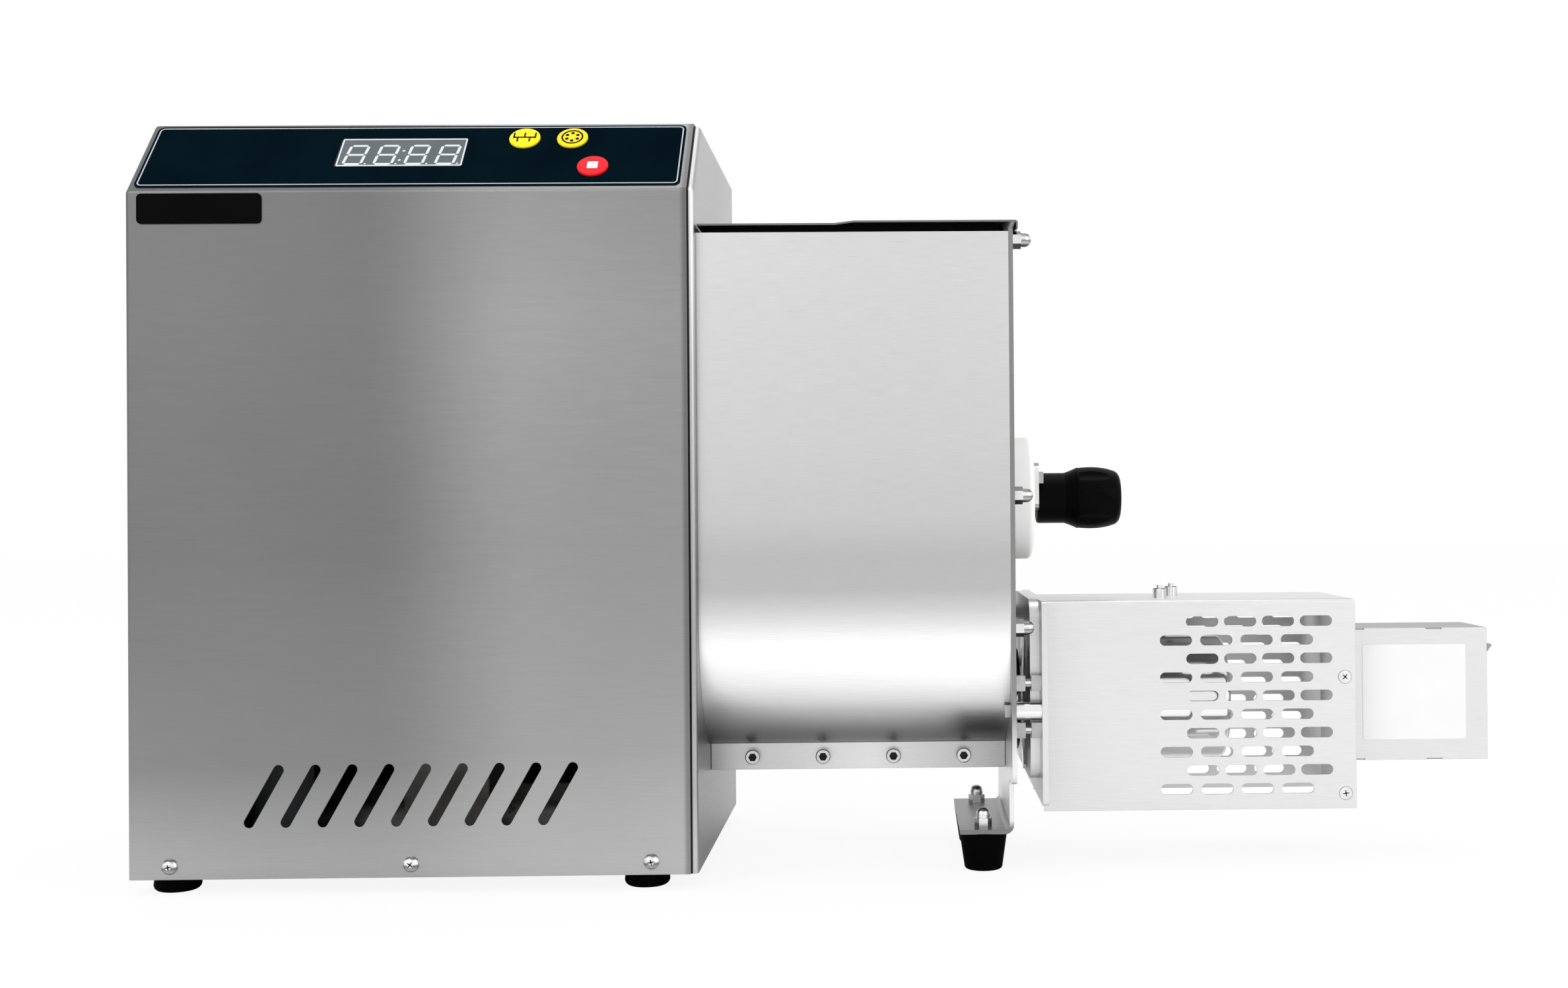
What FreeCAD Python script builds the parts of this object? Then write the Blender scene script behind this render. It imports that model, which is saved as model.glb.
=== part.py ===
import FreeCAD, Part
import math
import os
from types import SimpleNamespace

import Sketcher
from FreeCAD import Placement, Rotation, Vector

# Electric pasta maker: a drive housing, a mixing hopper with an extrusion screw
# under it, and a pasta cutter in front of the die.
# Millimetres. +X runs along the machine to the cutter, +Y away from the user, +Z up.
# The origin is on the table, under the middle of the machine.

# Driving dimensions
SIZES = {
    # drive housing
    "cover_width": 353.5,
    "cover_depth": 265.0,
    "cover_lift": 10.0,
    "fold_height": 434.0,
    "slope_run": 45.5,
    "slope_angle": 48.5,
    "cover_wall": 1.5,
    "cover_bend": 3.0,
    "sheet_gap": 0.3,
    "wall_proud": 4.6,
    "wall_flange": 16.0,
    "vent_count": 9,
    "vent_pitch": 23.1,
    "vent_length": 44.5,
    "vent_width": 6.6,
    "vent_lean": 60.5,
    "vent_inset": 85.4,
    "vent_height": 51.8,
    "screw_inset": 26.3,
    "screw_pitch": 151.2,
    "screw_height": 8.3,
    "screw_hole": 5.4,
    "base_thick": 2.0,
    "base_flange": 16.0,
    "foot_size": 29.0,
    "foot_inset": 23.4,
    "foot_span": 300.0,
    "foot_depth_inset": 20.0,
    "bare_plate_width": 78.3,
    "bare_plate_height": 19.2,
    "bare_plate_thick": 0.8,
    "bare_plate_inset": 7.7,
    "bare_plate_drop": 1.6,
    "inlet_across": 304.0,
    "inlet_up": 84.0,
    # control panel
    "panel_inset": 4.4,
    "panel_start": 3.5,
    "panel_height": 62.5,
    "panel_thick": 0.6,
    "panel_corner": 4.0,
    "window_left": 126.3,
    "window_bottom": 23.7,
    "window_width": 80.6,
    "window_height": 28.1,
    "key_size": 20.0,
    "key_gap": 0.3,
    "key_travel": 0.5,
    "key_dome": 1.4,
    "mix_key_across": 244.8,
    "press_key_across": 275.8,
    "upper_keys_up": 52.0,
    "stop_key_across": 292.1,
    "stop_key_up": 22.3,
    "board_drop": 14.0,
    "board_thick": 1.6,
    # hopper
    "hopper_length": 200.0,
    "hopper_width": 190.0,
    "hopper_setback": 10.0,
    "hopper_top": 417.6,
    "hopper_bottom": 78.4,
    "hopper_wall": 2.0,
    "hopper_lip": 14.0,
    "top_lip": 10.0,
    "plate_thick": 3.0,
    "plate_top": 419.5,
    "shoulder_height": 62.0,
    "leg_width": 124.0,
    "flange_reach": 35.5,
    "tall_foot_height": 25.0,
    "tall_foot_top": 32.0,
    "tall_foot_bottom": 25.4,
    "tall_foot_spread": 94.0,
    "tall_foot_inset": 19.7,
    "rail_width": 50.0,
    "rail_bottom": 63.8,
    "rail_screw_pitch": 47.6,
    "nut_inset": 9.0,
    "nut_top": 413.0,
    "nut_middle": 248.0,
    "nut_low": 162.5,
    # mixing and pressing
    "mixing_height": 246.6,
    "pressing_height": 107.8,
    "shaft_size": 20.0,
    "running_gap": 0.06,
    "paddle_reach": 86.0,
    "paddle_width": 24.0,
    "paddle_thick": 5.0,
    "paddle_twist": 30.0,
    "paddle_pitch": 37.0,
    "channel_size": 48.0,
    "barrel_wall": 3.0,
    "sleeve_length": 60.0,
    "flight_gap": 0.4,
    "flight_pitch": 38.0,
    "flight_tip": 3.0,
    "flight_root": 6.0,
    "core_size": 19.0,
    "collar_size": 72.6,
    "collar_length": 7.1,
    "nose_length": 2.6,
    "die_thick": 2.8,
    "die_hole": 7.0,
    "die_hole_circle": 28.0,
    # gears and motor
    "gear_width": 14.0,
    "gear_room": 10.5,
    "gear_side_gap": 0.5,
    "mixer_teeth": 36,
    "screw_teeth": 48,
    "pinion_teeth": 16,
    "backlash": 0.4,
    "carrier_thick": 6.0,
    "carrier_shoulder": 36.0,
    "carrier_front": 60.0,
    "carrier_slope": 80.0,
    "carrier_foot": 30.0,
    "bearing_size": 34.0,
    "bearing_length": 12.0,
    "bearing_flange": 50.0,
    "gearbox_size": 92.0,
    "gearbox_length": 72.0,
    "motor_size": 108.0,
    "motor_length": 158.0,
    "trestle_width": 76.0,
    "capacitor_size": 40.0,
    "capacitor_length": 76.0,
    # lid
    "lid_thick": 1.2,
    "lid_low": 423.0,
    "lid_step": 1.5,
    "lid_step_place": 89.0,
    "lid_step_length": 12.0,
    "lid_overhang": 3.2,
    "lid_side_gap": 0.8,
    "lid_front_reach": 2.0,
    "lid_back_gap": 0.5,
    "seal_width": 8.0,
    "hinge_knuckle": 8.0,
    "hinge_pin": 4.0,
    "hinge_reach": 5.5,
    "hinge_leaf": 40.0,
    "hinge_inset": 40.0,
    "hinge_thick": 1.5,
    # release knob
    "disc_size": 84.0,
    "disc_thick": 17.5,
    "keeper_thick": 3.5,
    "keeper_width": 56.0,
    "keeper_height": 32.0,
    "keeper_rise": 8.0,
    "bolt_reach": 13.0,
    "knob_neck": 34.8,
    "knob_size": 43.0,
    "knob_length": 57.8,
    "knob_travel": 14.0,
    "pin_size": 12.0,
    "pin_grip": 12.0,
    # cutter
    "pillar_size": 11.7,
    "pillar_length": 17.4,
    "pillar_gap": 2.15,
    "stud_above": 18.0,
    "stud_below": 12.5,
    "mount_thick": 4.0,
    "mount_margin": 1.15,
    "mount_below": 61.2,
    "mount_above": 71.4,
    "head_width": 136.0,
    "head_below": 47.0,
    "head_above": 72.0,
    "head_thick": 6.65,
    "blade_gap": 0.6,
    "blade_thick": 1.5,
    "blade_reach": 52.0,
    "spindle_size": 8.0,
    "guard_length": 209.6,
    "guard_width": 92.0,
    "guard_below": 70.8,
    "guard_above": 69.8,
    "guard_wall": 1.5,
    "slot_length": 21.6,
    "slot_width": 7.0,
    "slot_row_pitch": 24.9,
    "slot_row_count": 5,
    "slot_count": 4,
    "odd_slot_start": 106.7,
    "odd_slot_pitch": 25.5,
    "even_slot_start": 89.0,
    "even_slot_pitch": 27.1,
    "slot_top_drop": 14.8,
    "drum_size": 85.0,
    "drum_length": 127.0,
    "drum_wall": 2.0,
    "small_motor_size": 38.0,
    "small_motor_length": 76.0,
    "power_length": 95.0,
    "power_depth": 54.0,
    "power_below": 41.5,
    "power_above": 48.2,
    "power_wall": 1.2,
    "rocker_proud": 7.0,
    "rocker_height": 15.0,
    "rocker_width": 10.0,
    "rocker_swing": 16.0,
    "pivot_size": 3.0,
    "pivot_gap": 0.15,
}

document = FreeCAD.newDocument("PastaMaker")
sheet = document.addObject("Spreadsheet::Sheet", "Sizes")
for row_number, (alias, number) in enumerate(SIZES.items(), start=1):
    sheet.set(f"A{row_number}", alias)
    sheet.set(f"B{row_number}", str(number))
    sheet.setAlias(f"B{row_number}", alias)
document.recompute()


class Size:
    """A number together with the sheet expression that it is worked out by."""

    def __init__(self, text, value):
        self.text = text
        self.value = value

    def __add__(self, other):
        other = as_size(other)
        return Size(f"({self.text} + {other.text})", self.value + other.value)

    def __sub__(self, other):
        other = as_size(other)
        return Size(f"({self.text} - {other.text})", self.value - other.value)

    def __mul__(self, other):
        other = as_size(other)
        return Size(f"({self.text} * {other.text})", self.value * other.value)

    def __truediv__(self, other):
        other = as_size(other)
        return Size(f"({self.text} / {other.text})", self.value / other.value)

    def __neg__(self):
        return Size(f"(0 - {self.text})", -self.value)

    def __rsub__(self, other):
        return as_size(other) - self

    def __rtruediv__(self, other):
        return as_size(other) / self

    __radd__ = __add__
    __rmul__ = __mul__


def as_size(number):
    if isinstance(number, Size):
        return number
    return Size(repr(float(number)), float(number))


def root(size):
    return Size(f"sqrt({size.text})", math.sqrt(size.value))


def sine(angle):
    return Size(f"sin({angle.text})", math.sin(math.radians(angle.value)))


def cosine(angle):
    return Size(f"cos({angle.text})", math.cos(math.radians(angle.value)))


def tangent(angle):
    return Size(f"tan({angle.text})", math.tan(math.radians(angle.value)))


s = SimpleNamespace(**{alias: Size(f"Sizes.{alias}", number) for alias, number in SIZES.items()})
ZERO = as_size(0)


def bind(feature, name, size):
    """Bind one property of a feature to a size."""
    feature.setExpression(name, as_size(size).text)


def origin(body, role):
    return [item for item in body.Origin.OriginFeatures if item.Role == role][0]


def place(item, x=0, y=0, z=0, turn=None):
    """Bind where an object sits; turn is (axis, angle in degrees)."""
    rotation = Rotation()
    if turn is not None:
        rotation = Rotation(Vector(*turn[0]), as_size(turn[1]).value)
    at = [as_size(value) for value in (x, y, z)]
    item.Placement = Placement(Vector(*(value.value for value in at)), rotation)
    for letter, value in zip("xyz", at):
        bind(item, f"Placement.Base.{letter}", value)
    if turn is not None and isinstance(turn[1], Size):
        bind(item, "Placement.Rotation.Angle", turn[1])


def piece(label, x=0, y=0, z=0, turn=None):
    """A part-design body with its own label and bound place."""
    body = document.addObject("PartDesign::Body", label)
    body.Label = label
    place(body, x, y, z, turn)
    return body


def disc(x, y, radius):
    return ("disc", x, y, radius)


def rectangle(x0, y0, x1, y1):
    return [(x0, y0), (x1, y0), (x1, y1), (x0, y1)]


def rounded_box(x0, y0, x1, y1, radius):
    """A rectangle with four quarter-round corners."""
    x0, y0, x1, y1, radius = (as_size(value) for value in (x0, y0, x1, y1, radius))
    return [
        (x0 + radius, y0, radius),
        (x1 - radius, y0),
        (x1, y0 + radius, radius),
        (x1, y1 - radius),
        (x1 - radius, y1, radius),
        (x0 + radius, y1),
        (x0, y1 - radius, radius),
        (x0, y0 + radius),
    ]


def slot(x, y, length, width):
    """An obround, drawn along the sketch's own x direction."""
    x, y = as_size(x), as_size(y)
    end = width / 2
    run = length / 2 - end
    return [
        (x - run, y - end, end),
        (x + run, y - end),
        (x + run + end, y, end),
        (x + run, y + end, end),
        (x - run, y + end),
        (x - run - end, y, end),
    ]


def hexagon(across):
    corner = across / math.sqrt(3)
    return [
        (corner, 0),
        (corner / 2, across / 2),
        (-corner / 2, across / 2),
        (-corner, 0),
        (-corner / 2, -across / 2),
        (corner / 2, -across / 2),
    ]


def arc_between(start, end, radius):
    """The short arc from start to end: centre on the left for a positive radius."""
    chord = math.hypot(end[0] - start[0], end[1] - start[1])
    lift = math.sqrt(max(radius * radius - chord * chord / 4, 0))
    side = 1 if radius > 0 else -1
    middle_x = (start[0] + end[0]) / 2 - (end[1] - start[1]) / chord * lift * side
    middle_y = (start[1] + end[1]) / 2 + (end[0] - start[0]) / chord * lift * side
    first = math.atan2(start[1] - middle_y, start[0] - middle_x)
    last = math.atan2(end[1] - middle_y, end[0] - middle_x)
    circle = Part.Circle(Vector(middle_x, middle_y, 0), Vector(0, 0, 1), abs(radius))
    if radius > 0:
        return Part.ArcOfCircle(circle, first, last)
    return Part.ArcOfCircle(circle, last, first)


def hold(sketch, kind, geometry, point, size):
    """Add one dimension to a sketch and bind it."""
    size = as_size(size)
    if point is None:
        constraint = Sketcher.Constraint(kind, geometry, size.value)
    else:
        constraint = Sketcher.Constraint(kind, geometry, point, size.value)
    number = sketch.addConstraint(constraint)
    sketch.setExpression(f"Constraints[{number}]", size.text)


def draw_path(sketch, points):
    """Draw a closed path; a third value makes the edge that arrives there an arc."""
    spots = [tuple(as_size(value) for value in point) for point in points]
    count = len(spots)
    base = len(sketch.Geometry)
    arrive = [spots[(index + 1) % count] for index in range(count)]
    for index in range(count):
        start = (spots[index][0].value, spots[index][1].value)
        end = (arrive[index][0].value, arrive[index][1].value)
        if len(arrive[index]) == 3:
            sketch.addGeometry(arc_between(start, end, arrive[index][2].value), False)
        else:
            sketch.addGeometry(Part.LineSegment(Vector(*start, 0), Vector(*end, 0)), False)

    def ends(index):
        backward = len(arrive[index]) == 3 and arrive[index][2].value < 0
        return (2, 1) if backward else (1, 2)

    for index in range(count):
        following = (index + 1) % count
        join = Sketcher.Constraint(
            "Coincident", base + index, ends(index)[1], base + following, ends(following)[0]
        )
        sketch.addConstraint(join)
    for index in range(count):
        hold(sketch, "DistanceX", base + index, ends(index)[0], spots[index][0])
        hold(sketch, "DistanceY", base + index, ends(index)[0], spots[index][1])
        if len(arrive[index]) == 3:
            radius = arrive[index][2]
            hold(sketch, "Radius", base + index, None, radius if radius.value > 0 else -radius)


def sketch(body, plane, *outlines, level=0, at=(0, 0), turn=None, tilt=None):
    """A sketch on a plane of the body, moved by level along the plane's normal.

    turn rotates it about that normal and tilt about its own x direction.
    """
    drawing = body.newObject("Sketcher::SketchObject", "Sketch")
    drawing.AttachmentSupport = [(origin(body, plane + "_Plane"), "")]
    drawing.MapMode = "FlatFace"
    moved = [as_size(value) for value in (at[0], at[1], level)]
    rotation = Rotation()
    if turn is not None:
        rotation = Rotation(Vector(0, 0, 1), as_size(turn).value)
    if tilt is not None:
        rotation = Rotation(Vector(1, 0, 0), as_size(tilt).value)
    offset = Placement(Vector(*(value.value for value in moved)), rotation)
    drawing.AttachmentOffset = offset
    for letter, value in zip("xyz", moved):
        bind(drawing, f"AttachmentOffset.Base.{letter}", value)
    angle = turn if turn is not None else tilt
    if angle is not None:
        bind(drawing, "AttachmentOffset.Rotation.Angle", angle)
    for outline in outlines:
        if outline[0] == "disc":
            _, x, y, radius = outline
            x, y, radius = as_size(x), as_size(y), as_size(radius)
            circle = Part.Circle(Vector(x.value, y.value, 0), Vector(0, 0, 1), radius.value)
            number = len(drawing.Geometry)
            drawing.addGeometry(circle, False)
            hold(drawing, "DistanceX", number, 3, x)
            hold(drawing, "DistanceY", number, 3, y)
            hold(drawing, "Radius", number, None, radius)
        else:
            draw_path(drawing, outline)
    return drawing


def pad(body, profile, length, reverse=False, middle=False):
    feature = body.newObject("PartDesign::Pad", "Pad")
    feature.Profile = profile
    bind(feature, "Length", length)
    feature.Reversed = reverse
    if middle:
        feature.SideType = "Symmetric"
    return feature


def pocket(body, profile, depth=None, reverse=False, middle=False):
    """Cut a profile into the body, to a depth or right through."""
    feature = body.newObject("PartDesign::Pocket", "Pocket")
    feature.Profile = profile
    if depth is None:
        feature.Type = "ThroughAll"
    else:
        bind(feature, "Length", depth)
    feature.Reversed = reverse
    if middle:
        feature.SideType = "Symmetric"
    return feature


def revolve(body, profile, kind="Revolution"):
    """Turn a profile, or cut it, round the sketch's own x direction."""
    feature = body.newObject("PartDesign::" + kind, kind)
    feature.Profile = profile
    feature.ReferenceAxis = (profile, ["H_Axis"])
    feature.Angle = 360
    return feature


def turned(label, points, x=0, y=0, z=0, turn=None):
    """A round piece: the points are (distance along X, radius)."""
    body = piece(label, x, y, z, turn)
    revolve(body, sketch(body, "XY", points))
    return body


def in_row(body, feature, axis, pitch, count, second=None):
    """Repeat a feature along an origin axis, and along a second one if given."""
    feature_row = body.newObject("PartDesign::LinearPattern", "Row")
    feature_row.Originals = [feature]
    feature_row.Direction = (origin(body, axis + "_Axis"), [""])
    feature_row.Mode = "Spacing"
    bind(feature_row, "Offset", pitch)
    bind(feature_row, "Occurrences", count)
    if second is not None:
        feature_row.Direction2 = (origin(body, second[0] + "_Axis"), [""])
        feature_row.Mode2 = "Spacing"
        bind(feature_row, "Offset2", second[1])
        bind(feature_row, "Occurrences2", second[2])
        feature_row.Reversed2 = second[3]
    body.Tip = feature_row
    return feature_row


def in_ring(body, feature, axis, count):
    feature_ring = body.newObject("PartDesign::PolarPattern", "Ring")
    feature_ring.Originals = [feature]
    feature_ring.Axis = (origin(body, axis + "_Axis"), [""])
    feature_ring.Angle = 360
    bind(feature_ring, "Occurrences", count)
    body.Tip = feature_ring
    return feature_ring


def find_edges(shape, wanted):
    """Names of the edges whose middle point passes the wanted test."""
    names = []
    for number, edge in enumerate(shape.Edges, start=1):
        middle = edge.BoundBox.Center
        if wanted(edge, middle):
            names.append(f"Edge{number}")
    return names


def soften(body, wanted, radius, kind="Fillet"):
    """Round, or bevel, the edges of the last feature that pass the test."""
    document.recompute()
    base = body.Tip
    feature = body.newObject("PartDesign::" + kind, kind)
    feature.Base = (base, find_edges(base.Shape, wanted))
    bind(feature, "Radius" if kind == "Fillet" else "Size", radius)
    return feature


def near(number, size):
    return abs(number - as_size(size).value) < 0.01


def group(label, master, places):
    """Copies of one fastener at many places, kept as one node of separate solids."""
    copies = []
    for spot in places:
        copy = document.addObject("App::Link", label + "_copy")
        copy.LinkedObject = master
        place(copy, *spot)
        copies.append(copy)
    compound = document.addObject("Part::Compound", label)
    compound.Label = label
    compound.Links = copies
    return compound


# Places that the pieces share
overall = (
    s.cover_width
    + s.wall_proud
    + s.hopper_length
    + s.plate_thick
    + s.pillar_length
    + s.mount_thick
    + s.guard_length
    + s.power_length
    + s.rocker_proud
)
left = -overall / 2
front = -s.cover_depth / 2
wall_x = left + s.cover_width + s.wall_proud
plate_x = wall_x + s.hopper_length
outer_x = plate_x + s.plate_thick
mount_x = outer_x + s.pillar_length
guard_x = mount_x + s.mount_thick
power_x = guard_x + s.guard_length
hopper_y = front + s.hopper_setback + s.hopper_width / 2
slope_rise = s.slope_run * tangent(s.slope_angle)
cover_height = s.fold_height + slope_rise
bowl_z = s.hopper_bottom + s.hopper_width / 2
gear_module = 2 * (s.mixing_height - s.pressing_height) / (s.mixer_teeth + s.screw_teeth)
shaft_radius = s.shaft_size / 2
pillar_reach = s.head_width / 2 + s.pillar_gap + s.pillar_size / 2
gear_x = wall_x - s.cover_wall - s.bearing_length - s.gear_room
pinion_reach = gear_module * (s.pinion_teeth + s.screw_teeth) / 2 / math.sqrt(2)
motor_y = hopper_y + pinion_reach
motor_z = s.pressing_height + pinion_reach
carrier_x = gear_x - s.gear_width - s.gear_side_gap - s.bearing_length
ALONG_X_FROM_Z = ((0, 1, 0), 90)
FACING_FRONT = ((0, 0, 1), -90)
FACING_BACK = ((0, 0, 1), 90)


def housing_profile(inset, bottom):
    """Side view of the housing as (depth, height), moved inward by an inset."""
    inset, bottom = as_size(inset), as_size(bottom)
    up, along = sine(s.slope_angle), cosine(s.slope_angle)
    fold = s.fold_height - inset * (1 - up) / along
    crest = (inset + (slope_rise - inset) * along) / up
    return [
        (inset, bottom),
        (inset, fold),
        (crest, cover_height - inset),
        (s.cover_depth - inset, cover_height - inset),
        (s.cover_depth - inset, bottom),
    ]


# Drive housing
def make_cover():
    body = piece("housing_cover", left, front, s.cover_lift)
    pad(body, sketch(body, "YZ", housing_profile(0, 0)), s.cover_width)
    crest = s.slope_run
    bends = ((0, s.fold_height), (crest, cover_height), (s.cover_depth, cover_height))

    def is_bend(edge, middle):
        long_way = edge.BoundBox.XLength > 1
        at_bend = any(near(middle.y, y) and near(middle.z, z) for y, z in bends)
        left_rim = near(middle.x, 0) and middle.z > 1
        return (long_way and at_bend) or left_rim

    soften(body, is_bend, s.cover_bend)
    hollow = sketch(body, "YZ", housing_profile(s.cover_wall, -1), level=s.cover_wall)
    pocket(body, hollow, reverse=True)
    vent = slot(0, 0, s.vent_length, s.vent_width)
    vents = sketch(body, "XZ", vent, at=(s.vent_inset, s.vent_height), level=1, turn=s.vent_lean)
    cut = pocket(body, vents)
    in_row(body, cut, "X", s.vent_pitch, s.vent_count)
    holes = [
        disc(s.screw_inset + s.screw_pitch * step, s.screw_height, s.screw_hole / 2)
        for step in range(3)
    ]
    pocket(body, sketch(body, "XZ", *holes, level=1))
    openings = [
        disc(s.mix_key_across, s.upper_keys_up, s.key_size / 2 + s.key_gap),
        disc(s.press_key_across, s.upper_keys_up, s.key_size / 2 + s.key_gap),
        disc(s.stop_key_across, s.stop_key_up, s.key_size / 2 + s.key_gap),
        window_outline(s.sheet_gap),
    ]
    panel = sketch(body, "XY", *openings, level=s.fold_height, tilt=s.slope_angle)
    pocket(body, panel, 2 * s.cover_bend)
    across, up = s.inlet_across, s.inlet_up
    inlet = rectangle(across - 14, up - 24, across + 14, up + 24)
    pocket(body, sketch(body, "XZ", inlet, level=-s.cover_depth - 1), 2 + s.cover_wall, reverse=True)
    return body


def window_outline(gap):
    return rectangle(
        s.window_left - gap,
        s.window_bottom - gap,
        s.window_left + s.window_width + gap,
        s.window_bottom + s.window_height + gap,
    )


def make_end_wall():
    """A flanged tray that closes the housing towards the hopper."""
    body = piece("drive_end_wall", wall_x, front, s.cover_lift)
    inset = s.cover_wall + s.sheet_gap
    depth = s.wall_proud + s.wall_flange
    pad(body, sketch(body, "YZ", housing_profile(inset, 0)), depth, reverse=True)

    def is_outer_rim(edge, middle):
        return near(middle.x, 0) and edge.BoundBox.XLength < 0.01 and middle.z > 1

    soften(body, is_outer_rim, s.cover_bend)
    inner = housing_profile(inset + s.cover_wall, s.cover_wall)
    pocket(body, sketch(body, "YZ", inner, level=-s.cover_wall))
    y = hopper_y - front
    bores = [
        disc(y, s.mixing_height - s.cover_lift, s.bearing_size / 2 + s.running_gap),
        disc(y, s.pressing_height - s.cover_lift, s.bearing_size / 2 + s.running_gap),
    ]
    pocket(body, sketch(body, "YZ", *bores, level=1), 2 + s.cover_wall)
    return body


def make_base_plate():
    """A tray that ties the foot of the cover together and carries the drive."""
    inset = s.cover_wall + s.sheet_gap
    start = left + inset
    length = wall_x - s.cover_wall - s.sheet_gap - start
    flanged = length - s.wall_flange - s.wall_proud
    body = piece("base_plate", start, front, s.cover_lift + s.cover_wall)
    floor = rectangle(ZERO, s.cover_wall * 2 + s.sheet_gap * 2, length, s.cover_depth - inset * 2)
    pad(body, sketch(body, "XY", floor), s.base_thick)
    for side in (inset, s.cover_depth - inset - s.base_thick):
        wall = rectangle(ZERO, side, flanged, side + s.base_thick)
        pad(body, sketch(body, "XY", wall), s.base_flange)
    for low, high in ((inset, 2 * inset), (s.cover_depth - 2 * inset, s.cover_depth - inset)):
        pad(body, sketch(body, "XY", rectangle(ZERO, low, flanged, high)), s.base_thick)
    holes = [
        disc(
            s.screw_inset + s.screw_pitch * step - inset,
            s.screw_height - s.cover_wall,
            s.screw_hole / 2,
        )
        for step in range(3)
    ]
    pocket(body, sketch(body, "XZ", *holes, level=1))
    return body


def make_housing_feet():
    height = s.cover_lift + s.cover_wall
    radius = s.foot_size / 2
    round_edge = as_size(4)
    points = [
        (ZERO, ZERO),
        (ZERO, radius - round_edge),
        (round_edge, radius, -round_edge),
        (height, radius - 0.8),
        (height, ZERO),
    ]
    master = turned("housing_foot", points)
    places = []
    for x in (left + s.foot_inset, left + s.foot_inset + s.foot_span):
        for y in (front + s.foot_depth_inset, -front - s.foot_depth_inset):
            places.append((x, y, 0, ((0, 1, 0), -90)))
    return group("housing_feet", master, places)


def make_cover_screws():
    head = [
        (-(s.cover_wall + s.sheet_gap + s.base_thick + 1), ZERO),
        (-(s.cover_wall + s.sheet_gap + s.base_thick + 1), 2.5),
        (ZERO, 2.5),
        (ZERO, 5.0),
        (1.0, 4.8),
        (2.9, 1.8, -5.4),
        (2.9, ZERO),
    ]
    master = turned("cover_screw", head)
    places = []
    for step in range(3):
        x = left + s.screw_inset + s.screw_pitch * step
        z = s.cover_lift + s.screw_height
        places.append((x, front, z, FACING_FRONT))
        places.append((x, -front, z, FACING_BACK))
    return group("cover_screws", master, places)


def make_blank_plate():
    x = left + s.bare_plate_inset
    top = s.cover_lift + s.fold_height - s.bare_plate_drop
    body = piece("blank_plate", x, front, top - s.bare_plate_height)
    outline = rounded_box(0, 0, s.bare_plate_width, s.bare_plate_height, 3)
    pad(body, sketch(body, "XZ", outline), s.bare_plate_thick)
    return body


# Control panel, drawn in the plane of the slope
def panel_piece(label, across=0, up=0):
    """A body whose X runs along the panel, Y up the slope and Z out of it."""
    x = left + across
    y = front + up * cosine(s.slope_angle)
    z = s.cover_lift + s.fold_height + up * sine(s.slope_angle)
    return piece(label, x, y, z, ((1, 0, 0), s.slope_angle))


def make_overlay():
    body = panel_piece("control_overlay")
    outline = rounded_box(
        s.panel_inset,
        s.panel_start,
        s.cover_width - s.panel_inset,
        s.panel_start + s.panel_height,
        s.panel_corner,
    )
    radius = s.key_size / 2 + s.key_gap
    openings = [
        disc(s.mix_key_across, s.upper_keys_up, radius),
        disc(s.press_key_across, s.upper_keys_up, radius),
        disc(s.stop_key_across, s.stop_key_up, radius),
        window_outline(s.sheet_gap),
    ]
    pad(body, sketch(body, "XY", outline, *openings), s.panel_thick)
    return body


def make_window():
    """The display: a lens in the panel on a block that stands on the board."""
    body = panel_piece("display_window")
    depth = s.board_drop
    pad(body, sketch(body, "XY", window_outline(0), level=-depth), depth + s.panel_thick)
    return body


def make_key(label, across, up):
    """A domed key cap with a flange under the sheet and a stem to its switch."""
    body = panel_piece(label, across, up)
    cap = s.key_size / 2
    under = -(s.cover_wall + s.sheet_gap)
    foot = -(s.board_drop - 5) + s.key_travel + 0.1
    points = [
        (foot, ZERO),
        (foot, 3.0),
        (under - 1.2, 3.0),
        (under - 1.2, cap + 1.5),
        (under, cap + 1.5),
        (under, cap),
        (s.panel_thick + s.key_dome * 0.5, cap),
        (s.panel_thick + s.key_dome * 0.85, cap - 1.2, 1.6),
        (s.panel_thick + s.key_dome, ZERO),
    ]
    drawing = sketch(body, "XZ", [(point[1], point[0]) + point[2:] for point in points])
    feature = body.newObject("PartDesign::Revolution", "Revolution")
    feature.Profile = drawing
    feature.ReferenceAxis = (drawing, ["V_Axis"])
    feature.Angle = 360
    return body


def make_control_board():
    """Circuit board with three key switches, two relays and four spacers."""
    body = panel_piece("control_board")
    board = rectangle(s.window_left - 20, 6, s.cover_width - 34, 62)
    pad(body, sketch(body, "XY", board, level=-s.board_drop), s.board_thick, reverse=True)
    switches = [
        disc(s.mix_key_across, s.upper_keys_up, 4),
        disc(s.press_key_across, s.upper_keys_up, 4),
        disc(s.stop_key_across, s.stop_key_up, 4),
    ]
    pad(body, sketch(body, "XY", *switches, level=-s.board_drop - 0.5), 5.5)
    spacers = [disc(x, y, 3) for x in (s.window_left - 14, s.cover_width - 40) for y in (11, 59)]
    height = s.board_drop - s.cover_wall + 0.5
    pad(body, sketch(body, "XY", *spacers, level=-s.board_drop - 0.5), height)
    relays = [rectangle(s.window_left + 8 + x, 14, s.window_left + 28 + x, 30) for x in (0, 30)]
    relay_level = -s.board_drop - s.board_thick + 0.5
    pad(body, sketch(body, "XY", *relays, level=relay_level), 16.5, reverse=True)
    return body


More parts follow.
